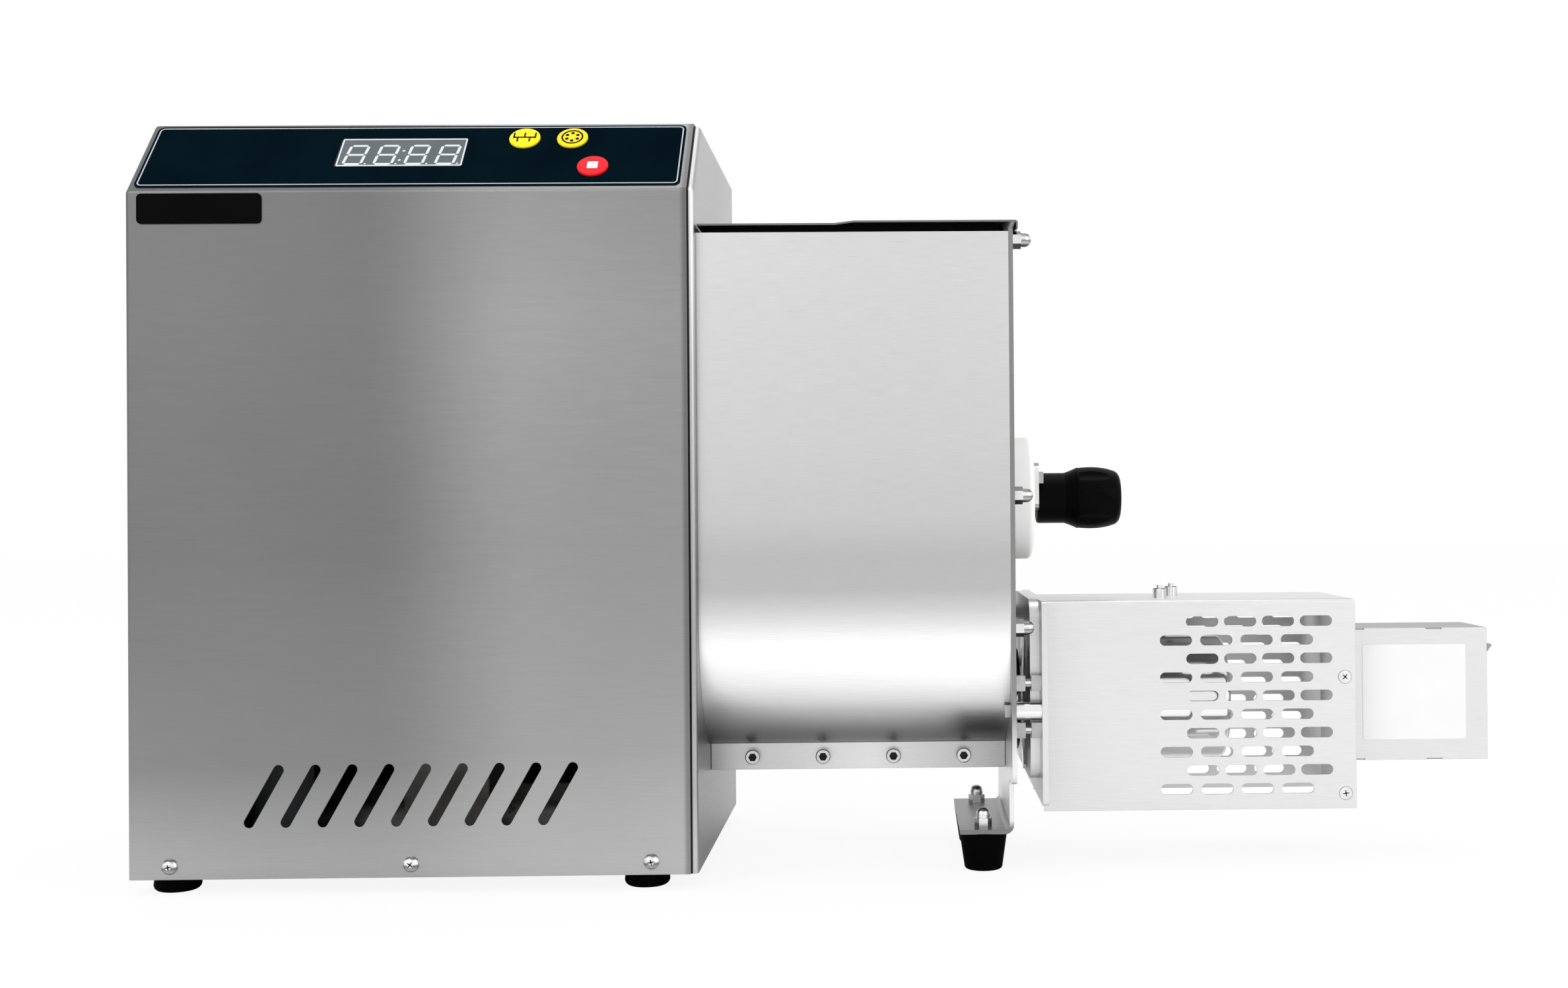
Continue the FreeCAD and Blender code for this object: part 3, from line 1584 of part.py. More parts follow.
def make_hex_bolts():
    """M5 bolts: two hold the keeper on its disc and two hold the cutter's pillars."""
    master = piece("hex_bolt")
    length = s.bolt_reach
    shank = [(-length, ZERO), (-length, 2.5), (ZERO + 2, 2.5), (ZERO + 2, ZERO)]
    revolve(master, sketch(master, "XY", shank))
    pad(master, sketch(master, "YZ", hexagon(as_size(8))), 3.5)
    x = outer_x + s.disc_thick + s.keeper_thick
    z = s.mixing_height + keeper_bolt_up()
    places = [(x, hopper_y + y, z) for y in (-20, 20)]
    for y in (-pillar_reach, pillar_reach):
        places.append((plate_x, hopper_y + y, s.pressing_height, ((0, 0, 1), 180)))
    return group("hex_bolts", master, places)


# Pasta cutter
def make_cutter_mount():
    body = piece("cutter_mount_plate", mount_x, hopper_y, s.pressing_height)
    half = pillar_reach + s.pillar_size / 2 + s.mount_margin
    outline = rounded_box(-half, -s.mount_below, half, s.mount_above, 3)
    holes = [disc(0, 0, s.spindle_size / 2 + 1)]
    holes += [disc(y, z, 3.1) for y, z in local_studs()]
    pad(body, sketch(body, "YZ", outline, *holes), s.mount_thick)
    pillar = piece("cutter_pillar")
    revolve(
        pillar,
        sketch(
            pillar,
            "XY",
            [
                (ZERO, 2.56),
                (ZERO, s.pillar_size / 2),
                (s.pillar_length, s.pillar_size / 2),
                (s.pillar_length, ZERO),
                (as_size(12), ZERO),
                (as_size(12), 2.56),
            ],
        ),
    )
    sides = (-pillar_reach, pillar_reach)
    z = s.pressing_height
    group("cutter_pillars", pillar, [(outer_x, hopper_y + y, z) for y in sides])
    stud = piece("clamp_stud")
    end = s.pillar_length + s.mount_thick
    rod = [(-s.plate_thick, ZERO), (-s.plate_thick, 3.0), (end, 3.0), (end, ZERO)]
    revolve(stud, sketch(stud, "XY", rod))
    pad(stud, sketch(stud, "YZ", hexagon(as_size(10))), 6.8)
    pad(stud, sketch(stud, "YZ", hexagon(as_size(10)), level=s.pillar_length - 6.8), 6.8)
    places = [(outer_x, hopper_y + y, z) for y, z in stud_spots()]
    return group("clamp_studs", stud, places)


def local_studs():
    return [(y, z - s.pressing_height) for y, z in stud_spots()]


def make_cutter_head():
    head = piece("cutter_head_plate", mount_x - s.head_thick, hopper_y, s.pressing_height)
    half = s.head_width / 2
    outline = rounded_box(-half, -s.head_below, half, s.head_above, 14)
    bore = disc(0, 0, s.spindle_size / 2 + s.running_gap)
    pad(head, sketch(head, "YZ", outline, bore), s.head_thick)
    x = mount_x - s.head_thick - s.blade_gap - s.blade_thick
    blade = piece("cutter_blade", x, hopper_y, s.pressing_height)
    arm = [
        (as_size(-5), -9),
        (s.blade_reach, -7),
        (s.blade_reach, ZERO),
        (s.blade_reach - 6, 4),
        (as_size(-5), 9),
    ]
    hub = sketch(blade, "YZ", disc(0, 0, 13))
    pad(blade, hub, s.blade_thick)
    first = pad(blade, sketch(blade, "YZ", arm), s.blade_thick)
    in_ring(blade, first, "X", 3)
    reach = s.blade_thick + s.blade_gap + s.head_thick + s.mount_thick + 12
    pad(blade, sketch(blade, "YZ", disc(0, 0, s.spindle_size / 2)), reach)
    return blade


def make_guard():
    """Folded guard, open below, with ten rows of slots through both long walls."""
    body = piece("cutter_cover", guard_x, hopper_y, s.pressing_height)
    half = s.guard_width / 2
    wall = s.guard_wall
    outer = rectangle(-half, -s.guard_below, half, s.guard_above)
    pad(body, sketch(body, "YZ", outer), s.guard_length)

    def is_top_bend(edge, middle):
        return near(middle.z, s.guard_above) and not near(middle.x, 0)

    soften(body, is_top_bend, as_size(3))
    inner = rectangle(-half + wall, -s.guard_below - 1, half - wall, s.guard_above - wall)
    pocket(body, sketch(body, "YZ", inner, level=s.guard_length - wall))
    first = s.guard_above - s.slot_top_drop
    rows = (
        (s.odd_slot_start, s.odd_slot_pitch, first),
        (s.even_slot_start, s.even_slot_pitch, first - s.slot_row_pitch / 2),
    )
    for start, pitch, height in rows:
        outline = slot(start, height, s.slot_length, s.slot_width)
        cut = pocket(body, sketch(body, "XZ", outline, level=half + 1))
        second = ("Z", s.slot_row_pitch, s.slot_row_count, True)
        in_row(body, cut, "X", pitch, s.slot_count, second)
    holes = [disc(x, y, 2.3) for x, y in thumb_spots()]
    pocket(body, sketch(body, "XY", *holes, level=s.guard_above + 1), wall + 2)
    sinks = [disc(x, z, 4.5) for x, z in countersunk_spots()]
    pocket(body, sketch(body, "XZ", *sinks, level=half + 1), wall + 2)
    return body


def thumb_spots():
    return [(as_size(83), as_size(-15)), (as_size(95), as_size(12))]


def countersunk_spots():
    x = s.guard_length - 7.2
    return [(x, as_size(17.2)), (x, as_size(-60.8))]


def make_drum():
    """Polished can that holds the cutter's motor, closed at its far end."""
    outer = s.drum_size / 2
    inner = outer - s.drum_wall
    length = s.drum_length
    points = [
        (ZERO, inner),
        (ZERO, outer),
        (length - 4, outer),
        (length, outer - 4, -4),
        (length, ZERO),
        (length - s.drum_wall, ZERO),
        (length - s.drum_wall, inner),
    ]
    turned("cutter_drum", points, guard_x, hopper_y, s.pressing_height)
    radius = s.small_motor_size / 2
    bore = s.spindle_size / 2 + s.running_gap
    body = [
        (ZERO, bore),
        (ZERO, 24.0),
        (3.0, 24.0),
        (3.0, radius),
        (s.small_motor_length, radius),
        (s.small_motor_length, 6.0),
        (s.small_motor_length + 4, 6.0),
        (s.small_motor_length + 4, ZERO),
        (as_size(18), ZERO),
        (as_size(18), bore),
    ]
    return turned("cutter_motor", body, guard_x, hopper_y, s.pressing_height)


def make_power_box():
    body = piece("power_box", power_x, hopper_y, s.pressing_height)
    half = s.power_depth / 2
    wall = s.power_wall
    outer = rectangle(-half + wall, -s.power_below, half, s.power_above)
    pad(body, sketch(body, "YZ", outer), s.power_length)
    inner = rectangle(-half, -s.power_below + wall, half - wall, s.power_above - wall)
    pocket(body, sketch(body, "YZ", inner, level=s.power_length - wall), s.power_length - 2 * wall)
    window = rocker_window(s.sheet_gap)
    jack = disc(0, -20, 4.1)
    pocket(body, sketch(body, "YZ", window, jack, level=s.power_length + 1), 3)
    lid = piece("power_box_lid", power_x, hopper_y - half, s.pressing_height)
    front_face = rectangle(ZERO, -s.power_below, s.power_length, s.power_above)
    pad(lid, sketch(lid, "XZ", front_face, level=-wall), wall)
    tab = as_size(11)
    tabs = []
    for x in (as_size(0), s.power_length * 0.56):
        tabs.append(rectangle(x, s.power_above - wall * 0.8, x + tab, s.power_above + 1))
        tabs.append(rectangle(x, -s.power_below - 1, x + tab, -s.power_below + wall * 0.8))
    pocket(lid, sketch(lid, "XZ", *tabs, level=1), wall + 2)
    points = [
        (as_size(-10), 2.75),
        (as_size(-10), 4.0),
        (ZERO, 4.0),
        (ZERO, 5.5),
        (1.5, 5.5),
        (1.5, 2.75),
    ]
    x = power_x + s.power_length
    turned("power_jack", points, x, hopper_y, s.pressing_height - 20)
    return body


ROCKER_UP = 30
ROCKER_FORWARD = -12


def rocker_window(gap):
    half_width = s.rocker_width / 2 + 1
    half_height = s.rocker_height / 2 + 1
    return rectangle(
        ROCKER_FORWARD - half_width - gap,
        ROCKER_UP - half_height - gap,
        ROCKER_FORWARD + half_width + gap,
        ROCKER_UP + half_height + gap,
    )


def make_rocker():
    x = power_x + s.power_length
    frame = piece("switch_frame", x, hopper_y, s.pressing_height)
    edge = 2.0
    half_width = s.rocker_width / 2
    half_height = s.rocker_height / 2
    hole = rectangle(
        ROCKER_FORWARD - half_width - 0.3,
        ROCKER_UP - half_height - 0.3,
        ROCKER_FORWARD + half_width + 0.3,
        ROCKER_UP + half_height + 0.3,
    )
    bezel = rounded_box(
        ROCKER_FORWARD - half_width - edge,
        ROCKER_UP - half_height - edge,
        ROCKER_FORWARD + half_width + edge,
        ROCKER_UP + half_height + edge,
        1.5,
    )
    pad(frame, sketch(frame, "YZ", bezel, hole), 2)
    pad(frame, sketch(frame, "YZ", rocker_window(0), hole, level=0.1), 12, reverse=True)
    back_wall = sketch(frame, "YZ", rocker_window(0), level=-11.9)
    pad(frame, back_wall, 1.5, reverse=True)
    reach = half_width + 1.05
    pivot_holes = sketch(
        frame, "XZ", disc(0, ROCKER_UP, s.pivot_size / 2 + s.pivot_gap), level=reach - ROCKER_FORWARD
    )
    pocket(frame, pivot_holes, reach * 2)
    rocker = piece("switch_rocker", x, hopper_y + ROCKER_FORWARD, s.pressing_height + ROCKER_UP)
    profile = [
        (as_size(-3), -half_height + 2.2),
        (as_size(1.2), -half_height + 0.4),
        (as_size(3.0), ZERO),
        (s.rocker_proud, half_height - 2.4),
        (s.rocker_proud - 0.8, half_height - 1.4),
        (as_size(-3), half_height - 1.6),
        (as_size(-5), ZERO),
    ]
    pad(rocker, sketch(rocker, "XZ", profile), s.rocker_width, middle=True)
    stubs = sketch(rocker, "XZ", disc(0, 0, s.pivot_size / 2))
    pad(rocker, stubs, s.rocker_width + 1.8, middle=True)
    return rocker


def make_cutter_fasteners():
    """Knurled nuts on top of the guard and countersunk screws in its front."""
    nut = piece("thumb_nut")
    points = [
        (as_size(-4), ZERO),
        (as_size(-4), 2.0),
        (ZERO, 2.0),
        (ZERO, 4.6),
        (6.0, 4.6),
        (6.6, 4.0),
        (6.6, 2.0),
        (8.6, 2.0),
        (8.6, ZERO),
    ]
    revolve(nut, sketch(nut, "XY", points))
    knurl = disc(5.6, 0, 1.4)
    cut = pocket(nut, sketch(nut, "YZ", knurl, level=10), 12)
    in_ring(nut, cut, "X", 6)
    top = s.pressing_height + s.guard_above
    upright = ((0, 1, 0), -90)
    spots = [(guard_x + x, hopper_y + y, top, upright) for x, y in thumb_spots()]
    group("thumb_nuts", nut, spots)
    inside = -s.guard_wall - 0.1
    profile = [
        (inside - 6, ZERO),
        (inside - 6, 2.0),
        (inside - 3.2, 2.0),
        (inside - 3.2, 5.4),
        (inside, 5.4),
        (inside, 4.0),
        (as_size(0.2), 4.3),
        (as_size(0.2), ZERO),
    ]
    screw = turned("countersunk_screw", profile)
    y = hopper_y - s.guard_width / 2
    places = [
        (guard_x + x, y, s.pressing_height + z, FACING_FRONT) for x, z in countersunk_spots()
    ]
    return group("countersunk_screws", screw, places)


make_cover()
make_end_wall()
make_base_plate()
make_housing_feet()
make_cover_screws()
make_blank_plate()
make_overlay()
make_window()
make_key("mix_key", s.mix_key_across, s.upper_keys_up)
make_key("press_key", s.press_key_across, s.upper_keys_up)
make_key("stop_key", s.stop_key_across, s.stop_key_up)
make_control_board()
make_power_inlet()
make_trough()
make_end_plate()
make_support_rail()
make_rail_screws()
make_acorn_nuts()
make_hopper_feet()
make_barrel()
make_extrusion_screw()
make_die_plate()
make_die_ring()
make_mixing_shaft()
make_paddles()
make_seals()
make_bearings()
make_carrier()
make_gears()
make_gearbox()
make_motor()
make_motor_bracket()
make_capacitor()
make_lid()
make_lid_seal()
make_hinges()
make_release()
make_hex_bolts()
make_cutter_mount()
make_cutter_head()
make_guard()
make_drum()
make_power_box()
make_rocker()
make_cutter_fasteners()
document.recompute()

NODES = [
    "housing_cover", "drive_end_wall", "base_plate", "housing_feet", "cover_screws",
    "blank_plate", "control_overlay", "display_window", "mix_key", "press_key", "stop_key",
    "control_board", "power_inlet", "hopper_trough", "hopper_end_plate", "support_rail",
    "rail_screws", "acorn_nuts", "hopper_feet", "extrusion_barrel", "extrusion_screw",
    "die_plate", "die_ring_nut", "mixing_shaft", "mixing_paddles", "shaft_seals",
    "shaft_bearings", "gear_carrier", "mixer_gear", "screw_gear", "drive_pinion",
    "gearbox_case", "motor_body", "motor_bracket", "motor_capacitor",
    "lid_plate", "lid_seal", "hinge_base", "hinge_leaves", "hinge_pins",
    "front_bearing_disc", "keeper_plate", "hex_bolts", "release_knob", "release_pin",
    "cutter_mount_plate", "cutter_pillars", "clamp_studs", "countersunk_screws",
    "cutter_head_plate", "cutter_blade", "cutter_cover", "cutter_drum",
    "cutter_motor", "power_box", "power_box_lid", "power_jack", "switch_frame",
    "switch_rocker", "thumb_nuts",
]

for item in document.Objects:
    if "Invalid" in item.State or "Error" in item.State:
        raise RuntimeError(f"{item.Label} did not build: {item.State}")

os.makedirs("parts", exist_ok=True)
for label in NODES:
    item = document.getObjectsByLabel(label)[0]
    shape = item.Shape
    if shape.isNull() or not shape.isValid():
        raise RuntimeError(f"{label} has no valid solid")
    shape.exportStep(f"parts/{label}.step")
    print(f"{label}: {len(shape.Solids)} solids, {shape.Volume:.0f} mm3")
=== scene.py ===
# %% [markdown]
# # Electric pasta maker
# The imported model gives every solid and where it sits. This script gives the
# solids their finishes, adds the small printed and pressed details, and lights
# the machine on a plain floor.

import math

import bmesh
import bpy
from mathutils import Matrix, Vector
from mathutils.bvhtree import BVHTree


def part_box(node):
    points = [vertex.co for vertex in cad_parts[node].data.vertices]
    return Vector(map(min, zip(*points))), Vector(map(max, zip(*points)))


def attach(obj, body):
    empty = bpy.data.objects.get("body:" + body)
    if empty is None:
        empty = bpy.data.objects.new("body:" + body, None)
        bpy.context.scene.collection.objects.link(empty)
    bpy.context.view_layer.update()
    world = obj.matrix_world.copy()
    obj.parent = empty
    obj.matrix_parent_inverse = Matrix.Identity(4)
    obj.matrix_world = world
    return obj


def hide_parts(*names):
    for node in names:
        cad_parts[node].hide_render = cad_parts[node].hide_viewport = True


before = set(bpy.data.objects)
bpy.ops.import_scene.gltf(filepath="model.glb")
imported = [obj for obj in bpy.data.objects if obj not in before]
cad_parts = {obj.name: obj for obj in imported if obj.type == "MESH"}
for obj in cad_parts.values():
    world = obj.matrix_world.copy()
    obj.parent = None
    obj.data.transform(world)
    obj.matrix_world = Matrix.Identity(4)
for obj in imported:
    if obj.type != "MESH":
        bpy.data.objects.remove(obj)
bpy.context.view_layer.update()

# %% [markdown]
# All sizes below are written in millimetres, as a maker's drawing has them.
# One factor turns them into Blender's metres.

# %% Units and small helpers
MM = 0.001


def mm(*values):
    return Vector([value * MM for value in values])


def keep_between(low, high, value):
    return max(low, min(high, value))


# %% [markdown]
# Materials are node trees. Three short helpers keep the code that builds them
# readable: one adds a node, one joins two sockets, and one starts a group.

# %% Node helpers
def add_node(tree, kind, **settings):
    made = tree.nodes.new(kind)
    for name, value in settings.items():
        setattr(made, name, value)
    return made


def join(tree, source, target):
    """Link a socket to a socket, or set the target's value from a plain number."""
    if isinstance(source, bpy.types.NodeSocket):
        tree.links.new(source, target)
    else:
        target.default_value = source


def calculate(tree, operation, first, second=0.0, third=None):
    made = add_node(tree, "ShaderNodeMath", operation=operation)
    join(tree, first, made.inputs[0])
    join(tree, second, made.inputs[1])
    if third is not None:
        join(tree, third, made.inputs[2])
    return made.outputs[0]


def remap(tree, value, from_low, from_high, to_low=0.0, to_high=1.0, smooth=True):
    kind = "SMOOTHSTEP" if smooth else "LINEAR"
    made = add_node(tree, "ShaderNodeMapRange", interpolation_type=kind)
    join(tree, value, made.inputs["Value"])
    for name, number in (
        ("From Min", from_low),
        ("From Max", from_high),
        ("To Min", to_low),
        ("To Max", to_high),
    ):
        made.inputs[name].default_value = number
    return made.outputs["Result"]


def along(tree, value, stops):
    """A number that follows a list of (place, level) stops with straight runs."""
    total = stops[0][1]
    for (start, level), (end, next_level) in zip(stops, stops[1:]):
        if next_level != level:
            step = remap(tree, value, start, end, 0.0, next_level - level, smooth=False)
            total = calculate(tree, "ADD", step, total)
    return total


def mix_colours(tree, factor, first, second):
    made = add_node(tree, "ShaderNodeMix", data_type="RGBA")
    join(tree, factor, made.inputs["Factor"])
    join(tree, first, made.inputs["A"])
    join(tree, second, made.inputs["B"])
    return made.outputs["Result"]


def start_group(name, inputs, outputs):
    """A shader group that hands back only values, masks, colours and normals."""
    group = bpy.data.node_groups.new(name, "ShaderNodeTree")
    for label, default in inputs:
        socket = group.interface.new_socket(label, in_out="INPUT", socket_type="NodeSocketFloat")
        socket.default_value = default
    for label, kind in outputs:
        group.interface.new_socket(label, in_out="OUTPUT", socket_type=kind)
    return group, group.nodes.new("NodeGroupInput"), group.nodes.new("NodeGroupOutput")


# %% [markdown]
# Brushed sheet has fine straight scratches. They run along the machine on the
# front, top and back, and along the depth on faces that look left or right, so
# the group blends two stretched noises by which way the face looks.

# %% Shared effect: brushed grain
def make_brushed_grain():
    outputs = (("Tone", "NodeSocketFloat"), ("Normal", "NodeSocketVector"))
    inputs = (("Lines", 900.0), ("Depth", 0.25), ("Edge", 0.0005))
    group, given, result = start_group("Brushed grain", inputs, outputs)
    place = add_node(group, "ShaderNodeTexCoord")
    grains = []
    for stretch in ((0.03, 1.0, 1.0), (1.0, 0.03, 1.0)):
        narrow = add_node(group, "ShaderNodeVectorMath", operation="MULTIPLY")
        join(group, place.outputs["Object"], narrow.inputs[0])
        narrow.inputs[1].default_value = stretch
        noise = add_node(group, "ShaderNodeTexNoise")
        noise.inputs["Detail"].default_value = 3.0
        noise.inputs["Roughness"].default_value = 0.6
        join(group, narrow.outputs[0], noise.inputs["Vector"])
        join(group, given.outputs["Lines"], noise.inputs["Scale"])
        grains.append(noise.outputs["Fac"])
    facing = add_node(group, "ShaderNodeSeparateXYZ")
    join(group, place.outputs["Normal"], facing.inputs[0])
    sideways = calculate(group, "ABSOLUTE", facing.outputs["X"])
    sideways = remap(group, sideways, 0.6, 0.8)
    blend = add_node(group, "ShaderNodeMix", data_type="FLOAT")
    join(group, sideways, blend.inputs["Factor"])
    join(group, grains[0], blend.inputs["A"])
    join(group, grains[1], blend.inputs["B"])
    grain = blend.outputs["Result"]
    edge = add_node(group, "ShaderNodeBevel", samples=4)
    join(group, given.outputs["Edge"], edge.inputs["Radius"])
    bump = add_node(group, "ShaderNodeBump")
    bump.inputs["Distance"].default_value = 0.00004
    join(group, given.outputs["Depth"], bump.inputs["Strength"])
    join(group, grain, bump.inputs["Height"])
    join(group, edge.outputs[0], bump.inputs["Normal"])
    join(group, remap(group, grain, 0.3, 0.7, smooth=False), result.inputs["Tone"])
    join(group, bump.outputs[0], result.inputs["Normal"])
    return group


BRUSHED_GRAIN = make_brushed_grain()
print("nodes in the grain group:", len(BRUSHED_GRAIN.nodes))

# %% [markdown]
# Large soft patches stand for handling marks and for sheet that isn't quite
# flat. Moulded skin is the fine pitted surface of plastic and rubber.

# %% Shared effects: soft patches and moulded skin
def make_patches():
    inputs = (("Size", 6.0),)
    outputs = (("Value", "NodeSocketFloat"),)
    group, given, result = start_group("Soft patches", inputs, outputs)
    place = add_node(group, "ShaderNodeTexCoord")
    noise = add_node(group, "ShaderNodeTexNoise")
    noise.inputs["Detail"].default_value = 2.0
    join(group, place.outputs["Object"], noise.inputs["Vector"])
    join(group, given.outputs["Size"], noise.inputs["Scale"])
    join(group, remap(group, noise.outputs["Fac"], 0.32, 0.68), result.inputs["Value"])
    return group


def make_moulded_skin():
    outputs = (("Value", "NodeSocketFloat"), ("Normal", "NodeSocketVector"))
    inputs = (("Grain", 2500.0), ("Depth", 0.2), ("Edge", 0.0006))
    group, given, result = start_group("Moulded skin", inputs, outputs)
    place = add_node(group, "ShaderNodeTexCoord")
    noise = add_node(group, "ShaderNodeTexNoise")
    noise.inputs["Detail"].default_value = 2.0
    join(group, place.outputs["Object"], noise.inputs["Vector"])
    join(group, given.outputs["Grain"], noise.inputs["Scale"])
    edge = add_node(group, "ShaderNodeBevel", samples=4)
    join(group, given.outputs["Edge"], edge.inputs["Radius"])
    bump = add_node(group, "ShaderNodeBump")
    bump.inputs["Distance"].default_value = 0.00005
    join(group, given.outputs["Depth"], bump.inputs["Strength"])
    join(group, noise.outputs["Fac"], bump.inputs["Height"])
    join(group, edge.outputs[0], bump.inputs["Normal"])
    join(group, noise.outputs["Fac"], result.inputs["Value"])
    join(group, bump.outputs[0], result.inputs["Normal"])
    return group


PATCHES = make_patches()
MOULDED_SKIN = make_moulded_skin()
print("shared groups:", [group.name for group in bpy.data.node_groups])

# %% [markdown]
# The two kinds of material that most pieces use: brushed or turned metal, and
# moulded plastic or rubber. Each keeps its own Principled shader.

# %% Metal and plastic materials
def start_material(name):
    material = bpy.data.materials.new(name)
    material.use_nodes = True
    tree = material.node_tree
    shader = tree.nodes["Principled BSDF"]
    return material, tree, shader


def use_group(tree, group, **values):
    made = add_node(tree, "ShaderNodeGroup", node_tree=group)
    for name, number in values.items():
        made.inputs[name].default_value = number
    return made


def grey(level, warm=0.0):
    return (level * (1 + warm), level, level * (1 - warm), 1.0)


def metal(name, level, roughness, spread=0.08, lines=900.0, depth=0.25, edge=0.0005, warm=0.0, size=6.0):
    """Bare steel: a grey level that drifts a little, with grain in tone and gloss."""
    material, tree, shader = start_material(name)
    grain = use_group(tree, BRUSHED_GRAIN, Lines=lines, Depth=depth, Edge=edge)
    patches = use_group(tree, PATCHES, Size=size)
    darker = grey(level * (1 - spread), warm)
    lighter = grey(level * (1 + spread), warm)
    drift = mix_colours(tree, patches.outputs["Value"], darker, lighter)
    fine = mix_colours(tree, grain.outputs["Tone"], (0.955, 0.955, 0.955, 1), (1.035, 1.035, 1.035, 1))
    both = add_node(tree, "ShaderNodeMix", data_type="RGBA", blend_type="MULTIPLY")
    both.inputs["Factor"].default_value = 1.0
    join(tree, drift, both.inputs["A"])
    join(tree, fine, both.inputs["B"])
    join(tree, both.outputs["Result"], shader.inputs["Base Color"])
    gloss = calculate(tree, "MULTIPLY_ADD", grain.outputs["Tone"], 0.08, roughness - 0.04)
    join(tree, gloss, shader.inputs["Roughness"])
    join(tree, grain.outputs["Normal"], shader.inputs["Normal"])
    shader.inputs["Metallic"].default_value = 1.0
    return material


def plastic(name, colour, roughness, depth=0.2, grain=2500.0, edge=0.0006, gloss_level=0.2, spread=0.12):
    """Moulded plastic, rubber or paint with a fine skin and slightly uneven tone."""
    material, tree, shader = start_material(name)
    skin = use_group(tree, MOULDED_SKIN, Grain=grain, Depth=depth, Edge=edge)
    patches = use_group(tree, PATCHES, Size=25.0)
    dark = tuple(channel * (1 - spread) for channel in colour) + (1.0,)
    light = tuple(keep_between(0, 1, channel * (1 + spread)) for channel in colour) + (1.0,)
    tone = mix_colours(tree, patches.outputs["Value"], dark, light)
    join(tree, tone, shader.inputs["Base Color"])
    gloss = calculate(tree, "MULTIPLY_ADD", skin.outputs["Value"], 0.12, roughness - 0.06)
    join(tree, gloss, shader.inputs["Roughness"])
    join(tree, skin.outputs["Normal"], shader.inputs["Normal"])
    shader.inputs["Specular IOR Level"].default_value = gloss_level
    return material


# %% [markdown]
# The big sheets each carry painted reflection and painted shade in their base colour, standing in for the
# part of the room that each one mirrors. One function multiplies a material's base colour by a tone that is
# worked out from where a point is.

# %% Tone that changes over a sheet
def tone_over(material, levels):
    tree = material.node_tree
    shader = tree.nodes["Principled BSDF"]
    before = shader.inputs["Base Color"].links[0].from_socket
    place = add_node(tree, "ShaderNodeTexCoord")
    axes = add_node(tree, "ShaderNodeSeparateXYZ")
    join(tree, place.outputs["Object"], axes.inputs[0])
    factor = levels(tree, axes.outputs["X"], axes.outputs["Y"], axes.outputs["Z"])
    spread = add_node(tree, "ShaderNodeCombineColor")
    for channel in ("Red", "Green", "Blue"):
        join(tree, factor, spread.inputs[channel])
    both = add_node(tree, "ShaderNodeMix", data_type="RGBA", blend_type="MULTIPLY")
    both.inputs["Factor"].default_value = 1.0
    join(tree, before, both.inputs["A"])
    join(tree, spread.outputs[0], both.inputs["B"])
    tree.links.new(both.outputs["Result"], shader.inputs["Base Color"])


# %% [markdown]
# The folded cover is bright on its outside only, and its inner faces, which show through the vents, get
# painted shade that makes them nearly black. How deep a point lies below the nearest outer face, with the
# slope among them, tells the two apart. The tones of all sheets are given in metres, like the model.

# %% Outside of the cover and painted shade inside it
SLOPE = math.radians(48.5)
FOLD_HEIGHT = 444.0
SHEET_SKIN = (0.0008, 0.0012)
# Tone of the painted shade on the cover's inner faces.
INNER_SHADE_TONE = 0.03
cover_low, cover_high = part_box("housing_cover")


def paint_cover_inner_shade(tree, x, y, z):
    """1 on the outside of the folded cover, and nearly 0 on its inner faces as painted shade."""
    depths = [
        calculate(tree, "SUBTRACT", x, cover_low.x),
        calculate(tree, "SUBTRACT", y, cover_low.y),
        calculate(tree, "SUBTRACT", cover_high.y, y),
        calculate(tree, "SUBTRACT", cover_high.z, z),
    ]
    back = calculate(tree, "MULTIPLY", depths[1], math.sin(SLOPE))
    up = calculate(tree, "SUBTRACT", z, FOLD_HEIGHT * MM)
    depths.append(calculate(tree, "MULTIPLY_ADD", up, -math.cos(SLOPE), back))
    nearest = depths[0]
    for depth in depths[1:]:
        nearest = calculate(tree, "MINIMUM", nearest, depth)
    return remap(tree, nearest, *SHEET_SKIN, 1.0, INNER_SHADE_TONE)


print("cover box:", [round(value, 4) for value in (*cover_low, *cover_high)])

# %% [markdown]
# The housing's base colour carries a painted reflection: darker on its left and lighter on its right, with
# a soft step between them that leans a little, and both lighter near the foot, where the sheet mirrors the
# floor. Its last few millimetres before the end wall are darker.

# %% Housing painted reflection
DARK_SIDE_REFLECTION = ((0.018, 1.35), (0.08, 0.79), (0.214, 0.60), (0.365, 0.57), (0.44, 0.50))
LIGHT_SIDE_REFLECTION = ((0.018, 1.62), (0.09, 1.15), (0.214, 0.99), (0.365, 1.04), (0.44, 0.85))
STEP_PLACE = (-0.290, -0.185)
STEP_LEAN = 0.03
RIGHT_EDGE = (-0.0985, -0.0950)
RIGHT_EDGE_TONE = 0.56


def paint_housing_reflection(tree, x, y, z):
    lean = calculate(tree, "MULTIPLY_ADD", z, STEP_LEAN, x)
    right = remap(tree, lean, *STEP_PLACE)
    dark_side = along(tree, z, DARK_SIDE_REFLECTION)
    light_side = along(tree, z, LIGHT_SIDE_REFLECTION)
    gap = calculate(tree, "SUBTRACT", light_side, dark_side)
    level = calculate(tree, "MULTIPLY_ADD", gap, right, dark_side)
    edge = remap(tree, x, *RIGHT_EDGE, 1.0, RIGHT_EDGE_TONE)
    level = calculate(tree, "MULTIPLY", level, edge)
    return calculate(tree, "MULTIPLY", level, paint_cover_inner_shade(tree, x, y, z))
